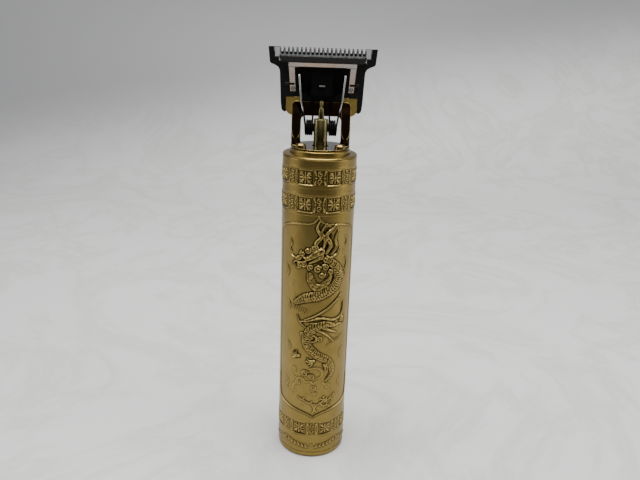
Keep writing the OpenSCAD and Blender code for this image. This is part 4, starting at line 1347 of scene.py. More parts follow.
    def strands(self, relief: ReliefField) -> None:
        """Long trailing fins below the upper bend, and short hatching beside them."""
        long: list[tuple[Path, list[float], float]] = [
            ([(10.4, 73.4), (5.8, 69.0), (0.6, 65.6), (-4.6, 63.0)], [0.35, 0.5, 0.4, 0.14], 0.55),
            ([(12.0, 69.4), (11.2, 64.8), (7.4, 63.0), (2.0, 64.2), (-3.4, 62.8), (-6.6, 62.2)],
             [0.3, 0.45, 0.5, 0.45, 0.3, 0.12], 0.6),
            ([(10.8, 60.8), (6.6, 60.4), (2.6, 61.8), (-2.2, 62.0)], [0.2, 0.5, 0.5, 0.2], 0.5),
            ([(9.4, 57.0), (6.2, 58.4), (2.8, 60.0), (-1.4, 60.8)], [0.16, 0.45, 0.5, 0.2], 0.5),
            ([(7.6, 53.6), (5.4, 56.0), (2.4, 58.2), (-1.0, 59.6)], [0.14, 0.42, 0.45, 0.2], 0.46),
            ([(-7.4, 64.8), (-6.0, 61.8), (-3.2, 59.6)], [0.14, 0.36, 0.2], 0.46),
        ]
        for path, radii, height in long:
            relief.stroke(self.at(path), radii, height)
        for n in range(7):
            s = 4.6 + 0.95 * n
            relief.stroke(self.at([(s, 52.0 + 0.3 * n), (s + 1.7, 54.8 + 0.2 * n)]),
                          [0.08, 0.2, 0.08], 0.3, steps=2)
            s, z = -9.4 + 0.9 * n, 66.9 - 0.2 * n
            relief.stroke(self.at([(s, z), (s + 0.8, z + 2.2)]), [0.1, 0.2, 0.1], 0.3, steps=2)

    def claws(self, relief: ReliefField) -> None:
        """Four feet, each a pad with four hooked toes."""
        feet = ((-6.9, 47.0, 150), (-0.8, 45.4, 200), (4.0, 43.6, 330), (10.6, 62.0, 20))
        for s, z, lean in feet:
            centre = np.array([s, z])
            relief.stroke(self.at([(s, z), (s + 0.6, z + 0.2)]), [0.6, 0.6], 0.66, steps=1)
            for toe in range(4):
                angle = math.radians(lean + 34 * (toe - 1.5))
                ahead = np.array([math.cos(angle), math.sin(angle)])
                bend = np.array([-ahead[1], ahead[0]]) * 0.35
                path = [tuple(centre + ahead * r + bend * k) for r, k in
                        ((0.4, 0.0), (1.2, 1.0), (2.0, 0.6), (2.4, -0.6))]
                relief.stroke(self.at(path), [0.34, 0.32, 0.24, 0.08], 0.66, steps=4)

    def sprigs(self, relief: ReliefField) -> None:
        """Leaf sprigs that fill the outline's lower point."""
        stems: list[Path] = [
            [(-6.6, 28.6), (-3.8, 27.2), (-0.6, 25.8), (2.4, 25.4)],
            [(2.6, 25.6), (4.4, 27.0), (6.8, 27.4), (8.2, 28.8)],
            [(-0.4, 25.4), (0.6, 23.4), (0.0, 21.6)],
            [(3.2, 25.2), (5.6, 24.6), (7.4, 25.4)],
        ]
        for path in stems:
            relief.stroke(self.at(path), [0.2, 0.44, 0.16], 0.5)
            relief.stroke(self.at(path), [0.06, 0.14, 0.06], 0.3, Crown.RIDGE, Blend.CUT)
            line = smooth_path(path, 4)
            for n, (s, z) in enumerate(line[1::2]):
                up = 1 if n % 2 else -1
                relief.stroke(self.at([(s, z), (s + 0.7, z + up * 0.6), (s + 1.2, z + up * 1.3)]),
                              [0.14, 0.34, 0.08], 0.44, steps=3)
        for k in range(5):
            angle = math.radians(90 + 72 * k)
            tip = (4.4 + 1.3 * math.cos(angle), 27.6 + 1.3 * math.sin(angle))
            relief.stroke(self.at([(4.4, 27.6), tip]), [0.2, 0.5], 0.42, steps=1)
        relief.dot(self.at([(4.4, 27.6)])[0], 0.4, 0.56)
        for s, z in ((-7.6, 31.0), (7.6, 30.8), (-4.6, 24.8), (-8.8, 29.6), (-2.4, 30.0)):
            relief.dot(self.at([(s, z)])[0], 0.36, 0.36)


# ------------------------------------------------------------------ sub-assemblies


@dataclass
class ReliefShell:
    """Gold outer sleeve, made as four sections that meet on plain lines.

    The wall is a grid of arc place and height. Its radius is the plain radius, plus the raised
    border rings, plus the drawn relief.

    Attributes:
        radius: Plain outside radius.
        inner: Inside radius.
        low: Lower edge.
        high: Upper edge.
        panel_low: Lower edge of the two panel sections.
        panel_high: Upper edge of the two panel sections.
        spacing: Grid spacing on the panels.
        band_spacing: Grid spacing on the bands.
        rings: Heights of the border rings.
        ring_rise: Height of a border ring over the wall.
        ring_half: Half width of a ring at its foot.
        ring_slope: Width of each of its sides.
        deepest: How far the relief may go under the plain wall.
        rim_cut: How far the sleeve's two rims are broken.
        rim_height: Height over which they are.
        knob: Middle and half size of the plain field under the power switch.
        lamp: Height of the light pipe.
        lamp_ring: Radius of the ring round it.
        travel: Way of the power switch.
        through: How far the openings' cutters reach to each side of the wall.
    """

    radius: float = 14.0
    inner: float = 12.8
    low: float = 2.45
    high: float = 125.8
    panel_low: float = 18.45
    panel_high: float = 105.2
    spacing: float = 0.2
    band_spacing: float = 0.16
    rings: tuple[float, ...] = (9.5, 17.9, 105.6, 113.2, 115.8, 123.0)
    ring_rise: float = 0.04
    ring_half: float = 0.36
    ring_slope: float = 0.12
    deepest: float = 0.3
    rim_cut: float = 0.12
    rim_height: float = 0.16
    knob: tuple[float, float, float, float] = (0.0, 46.0, 5.6, 8.2)
    lamp: float = 28.0
    lamp_ring: float = 1.7
    travel: float = 3.0
    through: float = 3.0

    def build(self) -> None:
        """Makes the four sections and hangs them on the body."""
        round_length = 2 * math.pi * self.radius
        half = round_length / 4
        made = [
            self.section("shell_lower_bands", self.low, self.panel_low, None),
            self.section("shell_upper_bands", self.panel_high, self.high, None),
            self.section("shell_front_panel", self.panel_low, self.panel_high, (-half, half)),
            self.section("shell_back_panel", self.panel_low, self.panel_high, (half, 3 * half)),
        ]
        for piece in made:
            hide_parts("outer_shell")

    def section(
        self, name: str, low: float, high: float, arc: Optional[tuple[float, float]]
    ) -> bpy.types.Object:
        """Makes one section of the sleeve as a closed wall.

        Args:
            name: Piece name.
            low: Lower edge.
            high: Upper edge.
            arc: First and last place along the arc, or nothing for the whole round.

        Returns:
            The section.
        """
        step = self.spacing if arc else self.band_spacing
        round_length = 2 * math.pi * self.radius
        up = np.linspace(low, high, round((high - low) / step) + 1)
        if arc:
            across = np.linspace(arc[0], arc[1], round((arc[1] - arc[0]) / step) + 1)
        else:
            count = round(round_length / step)
            across = np.arange(count) * round_length / count - round_length / 2
        relief = ReliefField(across, up)
        self.draw(relief, name, round_length)
        values = relief.dress(step)
        lines = np.zeros_like(up)
        for ring in self.rings:
            share = np.clip((self.ring_half - np.abs(up - ring)) / self.ring_slope, 0, 1)
            lines = np.maximum(lines, self.ring_rise * share)
        radius = self.radius + np.maximum(relief.height, -self.deepest) + lines[:, None]
        edge = up - self.low if low == self.low else self.high - up if high == self.high else None
        if edge is not None:
            radius = radius - self.rim_cut * np.clip(1 - edge / self.rim_height, 0, 1)[:, None]
        points, faces = self.wall(radius, across, up, arc is None)
        extra = len(points) - radius.size
        values = {key: np.concatenate([v, np.zeros(extra)]) for key, v in values.items()}
        piece = make_piece(name, points, faces, BODY, RELIEF_GOLD, sharp_deg=80,
                           values=values)
        if arc and arc[0] > 0:
            self.cut_openings(piece)
        return piece

    def draw(self, relief: ReliefField, name: str, round_length: float) -> None:
        """Draws the part of the design that lies on one section.

        Args:
            relief: Field of the section.
            name: Piece name of the section.
            round_length: Length of the wall's round.
        """
        if name == "shell_lower_bands":
            KnotBand(10.9, 16.7).draw(relief, round_length)
            LaurelBand().draw(relief, round_length)
        elif name == "shell_upper_bands":
            KnotBand(106.6, 112.4).draw(relief, round_length)
            KnotBand(116.7, 122.3).draw(relief, round_length)
        elif name == "shell_front_panel":
            SerpentPanel().draw(relief)
        else:
            SerpentPanel(middle=round_length / 2, way=-1).draw(relief)
            s, z, half_s, half_z = self.knob
            relief.flatten((round_length / 2 + s, z), (half_s, half_z), 1.2)
            relief.flatten((round_length / 2, self.lamp), (1.2, 0.0), 1.0)
            corners = [(round_length / 2 + a * half_s, z + b * half_z)
                       for a, b in ((1, 1), (-1, 1), (-1, -1), (1, -1))]
            for a, b in zip(corners, corners[1:] + corners[:1]):
                relief.stroke([a, b], [0.22, 0.22], 0.2, Crown.ROUND, steps=1)
            turn = np.radians(np.arange(0, 361, 20))
            ring = [(round_length / 2 + self.lamp_ring * math.cos(a),
                     self.lamp + self.lamp_ring * math.sin(a)) for a in turn]
            relief.stroke(ring, [0.2, 0.2], 0.2, Crown.ROUND, steps=2)

    def wall(
        self, radius: np.ndarray, across: np.ndarray, up: np.ndarray, closed: bool
    ) -> tuple[np.ndarray, list[np.ndarray]]:
        """Closed wall between the relief and a plain inner face.

        A point at arc place s and height z lies at the radius times (sin, -cos) of s over the
        plain radius. The inner face is one strip of faces with the same columns.

        Args:
            radius: Outside radius over the grid.
            across: Arc places.
            up: Heights.
            closed: Whether it goes all the way round.

        Returns:
            Points and face arrays.
        """
        rows, columns = radius.shape
        angle = across / self.radius
        outer = np.stack([radius * np.sin(angle), -radius * np.cos(angle),
                          np.repeat(up[:, None], columns, 1)], 2).reshape(-1, 3)
        edges = [
            np.stack([self.inner * np.sin(angle), -self.inner * np.cos(angle),
                      np.full(columns, z)], 1) for z in (up[0], up[-1])
        ]
        points = np.vstack([outer, *edges])
        j = np.arange(columns if closed else columns - 1)
        k = (j + 1) % columns
        top, low_in, high_in = (rows - 1) * columns, rows * columns, (rows + 1) * columns
        faces = [
            grid_faces(rows, columns, closed),
            np.stack([low_in + j, low_in + k, k, j], 1),
            np.stack([top + j, top + k, high_in + k, high_in + j], 1),
            np.stack([high_in + j, high_in + k, low_in + k, low_in + j], 1),
        ]
        if not closed:
            side = np.arange(rows) * columns
            last = columns - 1
            faces += [
                np.concatenate([side, [high_in, low_in]])[None, :],
                np.concatenate([side[::-1] + last, [low_in + last, high_in + last]])[None, :],
            ]
        return points, faces

    def cut_openings(self, piece: bpy.types.Object) -> None:
        """Cuts the switch's slot and the light pipe's hole through the back section.

        Args:
            piece: The back section.
        """
        for node, grow in (("switch_lever", 0.3), ("light_pipe", 0.1)):
            low, high = (np.array(p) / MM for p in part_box(node))
            if node == "switch_lever":
                size = np.array([high[0] - low[0] + 2 * grow, 2 * self.through,
                                 high[2] - low[2] + self.travel + 2 * grow])
                middle = np.array([0.0, self.radius, (low[2] + high[2]) / 2 + self.travel / 2])
                signs = np.array([[x, y, z] for x in (-1, 1) for y in (-1, 1) for z in (-1, 1)]) / 2
                points = middle + signs * size
                faces = [np.array([[0, 1, 3, 2], [4, 6, 7, 5], [0, 4, 5, 1], [2, 3, 7, 6],
                                   [0, 2, 6, 4], [1, 5, 7, 3]])]
            else:
                r, end = (high[0] - low[0]) / 2 + grow, self.through
                rod, faces = turned([(0, -end), (r, -end), (r, end), (0, end)], 48)
                points = np.stack([rod[:, 0], self.radius - rod[:, 2], self.lamp + rod[:, 1]], 1)
            cutter = make_piece("cutter_" + node, points, faces, BODY, PLAIN_STEEL)
            cut = piece.modifiers.new("cut_" + node, "BOOLEAN")
            cut.operation = "DIFFERENCE"
            cut.solver = "EXACT"
            cut.object = cutter
            solid = piece.evaluated_get(bpy.context.evaluated_depsgraph_get())
            mesh = bpy.data.meshes.new_from_object(solid)
            piece.modifiers.clear()
            piece.data = mesh
            mesh.set_sharp_from_angle(angle=math.radians(80))
            bpy.data.objects.remove(cutter)


@dataclass
class Housing:
    """Cap, shoulder ring, top plate and seal around the sleeve's two ends.

    Attributes:
        sides: Points round each turned piece.
        plate_top: Height of the top plate's face.
        plate_r: Radius of the top plate.
        collar_z: Lower edge of the shoulder ring's visible part.
        collar_top: Top of the shoulder ring.
        seal_r: Radius of the seal in the middle of the plate.
    """

    sides: int = 128
    plate_top: float = 128.2
    plate_r: float = 11.3
    collar_z: float = 125.95
    collar_top: float = 126.7
    seal_r: float = 3.125

    def build(self) -> None:
        """Makes the turned pieces and dresses the rest."""
        collar = rounded(
            [(12.7, 121.2), (12.7, self.collar_z), (14.0, self.collar_z),
             (14.0, self.collar_z + 0.2), (13.7, self.collar_z + 0.5), (12.2, self.collar_top),
             (self.plate_r + 0.1, self.collar_top), (self.plate_r + 0.1, 125.6), (10.3, 125.6),
             (10.3, 124.4), (11.4, 124.4), (11.4, 121.2)],
            [0, 0, 0.08, 0.08, 0.15, 0.15, 0.1, 0, 0, 0, 0, 0],
        )
        points, faces = turned(collar, self.sides)
        make_piece("shoulder_ring", points, faces, BODY, SATIN_GOLD, ("top_collar",))
        softened("top_plate", 0.12, BODY, SATIN_GOLD)
        softened("base_cap", 0.15, BODY, SATIN_GOLD)
        seal = rounded(
            [(1.4, self.plate_top - 1.1), (self.seal_r, self.plate_top - 1.1),
             (self.seal_r, self.plate_top), (1.4, self.plate_top)],
            [0, 0, 0.2, 0.2],
        )
        points, faces = turned(seal, 64)
        make_piece("lip_seal", points, faces, BODY, SEAL_RUBBER, ("shaft_seal",))


@dataclass
class Head:
    """Bracket, black frame, blades and the carrier that slides on them.

    Attributes:
        blasted_y: Place behind which the bracket is blasted, as its back faces are everywhere.
        facing: Least part of a face's normal along Y that makes it a back face.
        painted_highlight: Lower and upper edge of the small ledge in the carrier's middle that is
            given bright steel as a painted highlight.
        painted_highlight_half: Half width of that ledge.
        painted_highlight_face: Largest area of one of its faces, in square millimetres.
        shaded_flank_z: Height above which the blades' flanks are painted dark as painted shade.
        flank: Largest part of a face's normal along Y that makes it a flank.
    """

    blasted_y: float = 2.75
    facing: float = 0.7
    painted_highlight: tuple[float, float] = (150.45, 151.05)
    painted_highlight_half: float = 1.2
    painted_highlight_face: float = 4.0
    shaded_flank_z: float = 160.2
    flank: float = 0.6

    def build(self) -> None:
        """Dresses the head's pieces with rounded edges."""
        # Bracket edges painted with bright gold lines as painted highlights
        bracket = softened("head_bracket", 0.18, BODY, BRACKET_GOLD,
                           painted_light_rounds=GOLD_EDGE_HIGHLIGHT)
        bracket.data.materials.append(SHOULDER_GOLD.material())
        for face in bracket.data.polygons:
            back = face.center.y > self.blasted_y * MM or face.normal.y > self.facing
            face.material_index = 2 * int(back)
        softened("bracket_screws", 0.12, BODY, BRASS_SCREW)
        # Frame edges painted with grey lines as painted highlights
        softened("blade_frame", 0.1, BODY, BLACK_COAT, painted_light_rounds=COAT_EDGE_HIGHLIGHT)
        # Blade edges and tooth flanks painted near black: painted shade in the tooth gaps
        self.paint_flank_shade(softened("fixed_blade", 0.14, BODY, BLADE_STEEL,
                          painted_light_rounds=FLANK_SHADE_STEEL))
        softened("blade_screws", 0.08, BODY, PLAIN_STEEL)
        self.paint_flank_shade(softened("moving_blade", 0.12, CUTTER, BLADE_STEEL,
                          painted_light_rounds=FLANK_SHADE_STEEL))
        # Clamp bar edges painted with grey lines as painted highlights
        softened("clamp_bar", 0.14, CUTTER, BAR_COAT, painted_light_rounds=COAT_EDGE_HIGHLIGHT)
        carrier = softened("blade_carrier", 0.12, CUTTER, BLACK_NYLON)
        # A small ledge in the carrier's middle is given bright steel: a painted highlight
        carrier.data.materials.append(PLAIN_STEEL.material())
        for face in carrier.data.polygons:
            x, _, z = face.center / MM
            inside = abs(x) < self.painted_highlight_half and self.painted_highlight[0] < z < self.painted_highlight[1]
            face.material_index = int(inside and face.area < self.painted_highlight_face * MM * MM)
        softened("carrier_rivets", 0.08, CUTTER, PLAIN_STEEL)

    def paint_flank_shade(self, blade: bpy.types.Object) -> None:
        """Paints shade on the flanks between a blade's teeth with the finish of its rounds.

        Args:
            blade: Blade made by softened() with a finish for its rounds.
        """
        for face in blade.data.polygons:
            side_on = abs(face.normal.y) < self.flank
            face.material_index = int(side_on and face.center.z > self.shaded_flank_z * MM)


@dataclass
class Drive:
    """Turned cam with its eccentric pin, and the double torsion spring behind it.

    Attributes:
        cam_r: Radius of the cam.
        cam_z: Lower end of the cam.
        cam_top: Upper end of the cam.
        throw: Distance of the pin from the axis.
        pin_r: Radius of the pin's root.
        pin_sunk: How deep the pin stands in the cam.
        pin_neck: Heights over the cam between which the pin narrows to its tip.
        pin_dome: Height over the cam where its domed end starts.
        coil_y: Place of the coils' axis behind the cam.
        coil_z: Height of the coils' axis.
        coil_x0: Place of the inner end of the right coil.
        coil_r: Radius of the coils' middle line.
        coil_pitch: Distance between turns.
        bridge_y: Place of the bridge between the coils.
        bridge_z: Height of that bridge.
        turns: Turns in each coil.
        wire_r: Radius of the wire.
        bright_z: Height below which the legs are painted dark as painted shade.
    """

    cam_r: float = 2.625
    cam_z: float = 128.35
    cam_top: float = 138.9
    throw: float = 0.8
    pin_r: float = 1.1
    pin_sunk: float = 1.5
    pin_neck: tuple[float, float] = (3.4, 4.4)
    pin_dome: float = 6.2
    coil_y: float = 4.425
    coil_z: float = 135.0
    coil_x0: float = 3.175
    coil_r: float = 2.7
    coil_pitch: float = 0.75
    bridge_y: float = 5.85
    bridge_z: float = 141.8
    turns: int = 4
    wire_r: float = 0.35
    bright_z: float = 142.4

    def build(self) -> None:
        """Makes the cam, pin, spring and the spring's pin."""
        cam = rounded(
            [(0, self.cam_z), (self.cam_r, self.cam_z), (self.cam_r, self.cam_top),
             (0, self.cam_top)],
            [0, 0.25, 0.28, 0], 6,
        )
        points, faces = turned(cam, 96)
        make_piece("turned_cam", points, faces, ROTOR, TURNED_BRASS, ("drive_cam",))
        tip = self.pin_r * 0.74
        top = self.cam_top + self.pin_dome
        turn = np.radians([0, 20, 40, 60, 78])
        dome = [(tip * math.cos(a), top + tip * math.sin(a)) for a in turn]
        foot = self.cam_top - self.pin_sunk
        neck_low, neck_high = (self.cam_top + h for h in self.pin_neck)
        pin = np.vstack([
            rounded([(0, foot), (self.pin_r * 0.8, foot),
                     (self.pin_r * 0.8, self.cam_top), (self.pin_r, self.cam_top),
                     (self.pin_r, neck_low), (tip, neck_high)],
                    [0, 0, 0, 0.12, 0.5, 0.5], 4),
            dome, [(0, top + tip)],
        ])
        points, faces = turned(pin, 48)
        points = points + np.array([0, -self.throw, 0])
        make_piece("eccentric_pin", points, faces, ROTOR, TURNED_BRASS, ("drive_pin",))
        points, faces = tube(self.spring_line(), self.wire_r)
        # Painted shade: the wire is painted dark below bright_z
        black = np.clip((self.bright_z - points[:, 2]) / 1.2, 0, 1)
        make_piece("double_torsion_spring", points, faces, BODY, SPRING_STEEL, ("torsion_spring",),
                   sharp_deg=60, values={"hollow": black, "crest": 0 * black})
        softened("spring_pin", 0.1, BODY, DARK_STEEL)

    def spring_line(self) -> np.ndarray:
        """Middle line of the spring, from the left leg's tip over both coils to the right one's.

        Each coil is a helix: the angle turns evenly while the wire moves outwards by one pitch a
        turn. Smooth curves join it to the bridge and to the leg.

        Returns:
            Points in millimetres.
        """
        x0, x1 = self.coil_x0, self.coil_x0 + self.turns * self.coil_pitch
        bridge_y, bridge_z = self.bridge_y, self.bridge_z
        inner = smooth_path(
            [(0, bridge_y, bridge_z), (x0 - 0.9, bridge_y, bridge_z),
             (x0 - 0.15, bridge_y, bridge_z - 0.9), (x0, bridge_y, self.coil_z + 3.4),
             (x0, self.coil_y + self.coil_r, self.coil_z + 0.5)], 6,
        )[:-1]
        t = np.arange(0, 24 * (self.turns - 0.5) + 1) / 24
        coil = np.stack([
            x0 + self.coil_pitch * t,
            self.coil_y + self.coil_r * np.cos(-2 * math.pi * t),
            self.coil_z + self.coil_r * np.sin(-2 * math.pi * t),
        ], 1)
        leg = smooth_path(
            [(x1 - 0.3, self.coil_y - self.coil_r - 0.05, self.coil_z + 1.2),
             (x1 + 0.35, 1.0, 140.6), (x1 + 1.3, -0.1, 145.4), (8.4, -0.1, 154.3)], 8,
        )
        half = np.vstack([inner, coil, leg])
        return np.vstack([half[:0:-1] * np.array([-1, 1, 1]), half])


@dataclass
class PowerSwitch:
    """Slide switch at the back, with the charging light's window below it."""

    def build(self) -> None:
        """Dresses the switch and the light pipe."""
        softened("switch_knob", 0.12, POWER_SWITCH, SATIN_GOLD, angle_deg=35.0)
        dress("switch_lever", WHITE_POM)
        softened("light_pipe", 0.15, BODY, CLEAR_PC)


def dress(node: str, finish: Finish) -> None:
    """Gives a CAD node that keeps its own mesh a finish.

    Args:
        node: CAD node.
        finish: Finish of the whole node.
    """
    mesh = frame["nodes"][node].data
    mesh.materials.clear()
    mesh.materials.append(finish.material())


@dataclass
class InnerWorks:
    """Motor, cell, chassis, board and leads inside the sleeve.

    Attributes:
        finishes: Finish of each CAD node that keeps its own mesh.
    """

    finishes: dict[str, Finish] = field(default_factory=lambda: {
        "base_screws": DARK_STEEL, "motor_shaft": PLAIN_STEEL, "rotor_core": CORE_STEEL,
        "rotor_windings": WOUND_COPPER, "commutator": COPPER, "motor_can": PLAIN_STEEL,
        "motor_top_bush": BUSH_BRONZE, "motor_magnets": FERRITE, "motor_end_cap": WHITE_POM,
        "motor_bottom_bush": BUSH_BRONZE, "motor_brushes": COPPER, "motor_terminals": COPPER,
        "chassis_front": CHASSIS_ABS, "chassis_rear": CHASSIS_ABS, "battery_cell": CELL_WRAP,
        "battery_tabs": PLAIN_STEEL, "battery_lead_red": LEAD_RED,
        "battery_lead_black": LEAD_BLACK, "motor_leads": LEAD_RED, "circuit_board": BOARD_GREEN,
        "board_chips": CHIP_EPOXY, "charging_socket": PLAIN_STEEL, "switch_body": PLAIN_STEEL,
        "charging_lamp": LAMP_RED,
    })

    def build(self) -> None:
        """Dresses every inner node."""
        for node, finish in self.finishes.items():
            dress(node, finish)


# ------------------------------------------------------------------ studio


@dataclass
class Studio:
    """Pale floor that curves up to a backdrop, soft lights and the camera.

    Attributes:
        camera_place: Place of the camera.
        pan: Turn of the camera to the right, in radians.
        pitch: Tilt downwards, in radians.
        roll: Turn about its own axis, in radians.
        focal: Focal length over the picture's width.
        half_width: Half width of the floor.
        front: Place of the floor's front edge.
        back: Place where the floor starts to rise.
        bend: Radius of that rise.
        backdrop_top: Height of the backdrop.
        far_card: Place of the cards that lie far in front.
        near_card: Place of the small warm cards.
    """

    camera_place: tuple[float, float, float] = (-1.338, -228.55, 167.34)
    pan: float = 0.011
    pitch: float = 0.320
    roll: float = 0.035
    focal: float = 0.952278125
    half_width: float = 1500.0
    front: float = -1500.0
    back: float = 420.0
    bend: float = 260.0
    backdrop_top: float = 1600.0
    far_card: float = -1000.0
    near_card: float = -200.0

    def build(self) -> None:
        """Makes the stage, the lights and the camera."""
        self.floor()
        self.cards()
        self.lights()
        self.camera()

    def camera(self) -> None:
        """Camera at the calibrated place, with its axes made from pan, pitch and roll."""
        ahead = np.array([math.sin(self.pan) * math.cos(self.pitch),
                          math.cos(self.pan) * math.cos(self.pitch), -math.sin(self.pitch)])
        right0 = np.array([math.cos(self.pan), -math.sin(self.pan), 0.0])
        up0 = np.cross(right0, ahead)
        right = math.cos(self.roll) * right0 + math.sin(self.roll) * up0
        up = -math.sin(self.roll) * right0 + math.cos(self.roll) * up0
        data = bpy.data.cameras.new("studio_camera")
        data.sensor_width = 36.0
        data.lens = 36.0 * self.focal
        data.clip_start, data.clip_end = 0.005, 20.0
        camera = bpy.data.objects.new("studio_camera", data)
        bpy.context.scene.collection.objects.link(camera)
        turn = np.eye(4)
        turn[:3, 0], turn[:3, 1], turn[:3, 2] = right, up, -ahead
        turn[:3, 3] = np.array(self.camera_place) * MM
        camera.matrix_world = Matrix(turn.tolist())
        bpy.context.scene.camera = camera

    def floor(self) -> None:
        """Floor and backdrop as one sheet.

        Along its length it is flat, then follows a quarter circle, then rises straight.
        """
        flat = np.linspace(self.front, self.back, 12)
        arc = np.radians(np.linspace(0, 90, 25))[1:]
        y = np.concatenate([flat, self.back + self.bend * np.sin(arc), [self.back + self.bend]])
        rise = self.bend * (1 - np.cos(arc))
        z = np.concatenate([np.zeros_like(flat), rise, [self.backdrop_top]])
        x = np.linspace(-self.half_width, self.half_width, 3)
        points = np.stack([np.tile(x, len(y)), np.repeat(y, 3), np.repeat(z, 3)], 1)
        mesh = bpy.data.meshes.new("studio_floor")
        mesh.from_pydata((points * MM).tolist(), [], grid_faces(len(y), 3, False).tolist())
        mesh.shade_smooth()
        mesh.materials.append(self.floor_material())
        floor = bpy.data.objects.new("studio_floor", mesh)
        bpy.context.scene.collection.objects.link(floor)

    def floor_material(self) -> bpy.types.Material:
        """Pale matt laminate with faint cloudy veins; the backdrop is painted darker upwards as
        painted shade.
        """
        made = bpy.data.materials.new("pale_marbled_laminate")
        made.use_nodes = True
        tree = made.node_tree
        tree.nodes.clear()
        place = add_node(tree, "ShaderNodeTexCoord").outputs["Object"]
        clouds = add_node(tree, "ShaderNodeTexNoise", Vector=place, Scale=9.0, Detail=6.0,
                          Roughness=0.6)
        veins = add_node(tree, "ShaderNodeTexNoise", Vector=place, Scale=7.0, Detail=8.0,
                         Roughness=0.65, Distortion=1.6)
        ridge = add_node(tree, "ShaderNodeMath", {"operation": "SUBTRACT"}, i0=veins.outputs[0],
                         i1=0.5)
        near = add_node(tree, "ShaderNodeMath", {"operation": "ABSOLUTE"}, i0=ridge.outputs[0])
        vein = add_node(tree, "ShaderNodeMapRange", i0=near.outputs[0], i1=0.0, i2=0.05, i3=0.3,
                        i4=0.0)
        tone = add_node(tree, "ShaderNodeMix", {"data_type": "RGBA"}, i0=clouds.outputs[0],
                        i6=linear("#d6d6d4"), i7=linear("#cbcbc9"))
        veined = add_node(tree, "ShaderNodeMix", {"data_type": "RGBA"}, i0=vein.outputs[0],
                          i6=tone.outputs[2], i7=linear("#a9a7a0"))
        # Painted shade: height on the backdrop, counted lower on the right, where it stays pale for
        # longer
        height = add_node(tree, "ShaderNodeVectorMath", {"operation": "DOT_PRODUCT"}, i0=place,
                          i1=(-0.2, 0.0, 1.0))
        rise = add_node(tree, "ShaderNodeMapRange", {"interpolation_type": "SMOOTHSTEP"},
                        i0=height.outputs["Value"], i1=0.0, i2=0.165)
        backdrop_painted_shade = add_node(tree, "ShaderNodeMix", {"data_type": "RGBA"}, i0=rise.outputs[0],
                         i6=veined.outputs[2], i7=linear("#868687"))
        shader = add_node(tree, "ShaderNodeBsdfPrincipled", Base_Color=backdrop_painted_shade.outputs[2],
                          Roughness=0.5)
        add_node(tree, "ShaderNodeOutputMaterial", Surface=shader.outputs[0])
        return made

    def card(
        self, name: str, corners: Sequence[tuple[float, float, float]], colour: str,
        fade: tuple[tuple[float, float, float], float, float], glow: float = 0.0,
    ) -> None:
        """Adds a card that shows in reflections only, as flags and bounces are used on metal.

        Args:
            name: Name of the card.
            corners: Its four corners.
            colour: Its colour.
            fade: Direction along which it fades in, and the places where it starts and is full.
            glow: Strength of its own light, 0 for a dark flag.
        """
        mesh = bpy.data.meshes.new(name)
        mesh.from_pydata((np.array(corners) * MM).tolist(), [], [(0, 1, 2, 3)])
        made = bpy.data.materials.new(name)
        made.use_nodes = True
        tree = made.node_tree
        tree.nodes.clear()
        place = add_node(tree, "ShaderNodeTexCoord").outputs["Object"]
        along = add_node(tree, "ShaderNodeVectorMath", {"operation": "DOT_PRODUCT"}, i0=place,
                         i1=fade[0])
        full = add_node(tree, "ShaderNodeMapRange", {"interpolation_type": "SMOOTHSTEP"},
                        i0=along.outputs["Value"], i1=fade[1] * MM, i2=fade[2] * MM)
        clear = add_node(tree, "ShaderNodeBsdfTransparent")
        face = add_node(tree, "ShaderNodeEmission", Color=linear(colour), Strength=glow or 1.0)
        mix = add_node(tree, "ShaderNodeMixShader", i0=full.outputs[0], i1=clear.outputs[0],
                       i2=face.outputs[0])
        add_node(tree, "ShaderNodeOutputMaterial", Surface=mix.outputs[0])
        mesh.materials.append(made)
        sheet = bpy.data.objects.new(name, mesh)
        bpy.context.scene.collection.objects.link(sheet)
        sheet.visible_camera = False
        sheet.visible_diffuse = False
        sheet.visible_shadow = False

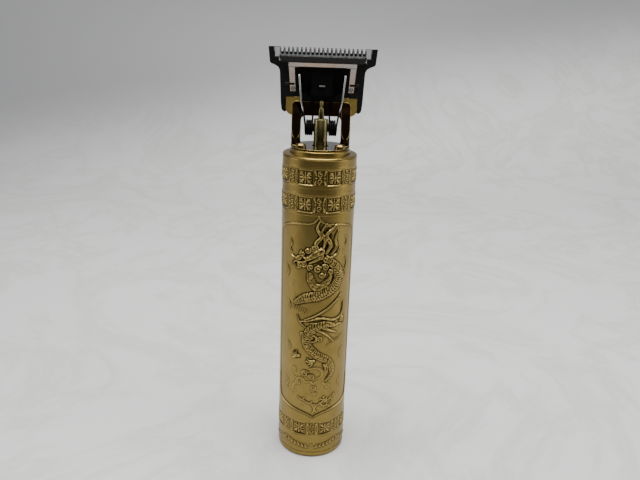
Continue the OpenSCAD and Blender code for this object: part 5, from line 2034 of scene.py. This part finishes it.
    def cards(self) -> None:
        """Dark floor far in front, a bounce for the flat blades, and warm cards for their legs."""
        far, near = self.far_card, self.near_card
        self.card(
            "dark_flag", [(-900, -1490, 1), (900, -1490, 1), (900, -60, 1), (-900, -60, 1)],
            "#0d0b07", ((0.0, -1.0, 0.0), 50, 360),
        )
        self.card(
            "dark_flag_upright",
            [(-700, far, 0), (-700, far, 55), (700, far, 55), (700, far, 0)],
            "#0d0b07", ((0.0, 0.0, -1.0), -55, -45),
        )
        self.card(
            "blade_bounce",
            [(-600, far, 50), (-600, far, 330), (600, far, 330), (600, far, 50)],
            "#dfe0e2", ((0.0, 0.0, 1.0), 50, 66), 0.78,
        )
        # Small warm cards close in front: their glow lies in the middle of the blade and its legs
        for name, x0, x1, z0, z1 in (
            ("warm_middle", -15, 13, 140, 151),
            ("warm_left", -32, -25, 118, 144),
            ("warm_right", 23, 30, 118, 144),
        ):
            self.card(
                name, [(x0, near, z0), (x0, near, z1), (x1, near, z1), (x1, near, z0)],
                "#dc9838", ((0.0, 0.0, 1.0), z0, z0 + 3), 1.5,
            )

    def lights(self) -> None:
        """Even grey surroundings, a wide softbox above, and a weaker one on each side."""
        world = bpy.data.worlds.new("studio_world")
        world.use_nodes = True
        back = world.node_tree.nodes["Background"]
        back.inputs[0].default_value = linear("#c9ccd0")
        back.inputs[1].default_value = 0.4
        bpy.context.scene.world = world
        boxes = [
            ("softbox_top", (0, -60, 900), (0, 0, 0), 800, 600, 15.6),
            ("softbox_right", (800, -150, 400), (0, 0, 90), 500, 700, 3.2),
            ("softbox_left", (-800, -100, 400), (0, 0, 90), 500, 700, 3.0),
        ]
        for name, place, target, width, height, power in boxes:
            data = bpy.data.lights.new(name, "AREA")
            data.shape = "RECTANGLE"
            data.size, data.size_y = width * MM, height * MM
            data.energy = power
            light = bpy.data.objects.new(name, data)
            bpy.context.scene.collection.objects.link(light)
            start, end = Vector(place) * MM, Vector(target) * MM
            turn = (end - start).to_track_quat("-Z", "Y").to_matrix().to_4x4()
            light.matrix_world = Matrix.Translation(start) @ turn


# ------------------------------------------------------------------ making it all


def main() -> None:
    """Builds each sub-assembly in order and reports its pieces."""
    logging.basicConfig(level=logging.INFO, format="%(message)s")
    known = set(bpy.data.objects.keys())
    for part in (ReliefShell(), Housing(), Head(), Drive(), PowerSwitch(), InnerWorks(), Studio()):
        part.build()
        made = [name for name in bpy.data.objects.keys() if name not in known]
        LOG.info("%s: %s", type(part).__name__, ", ".join(made) or "finishes only")
        known.update(made)


if __name__ == "__main__":
    main()
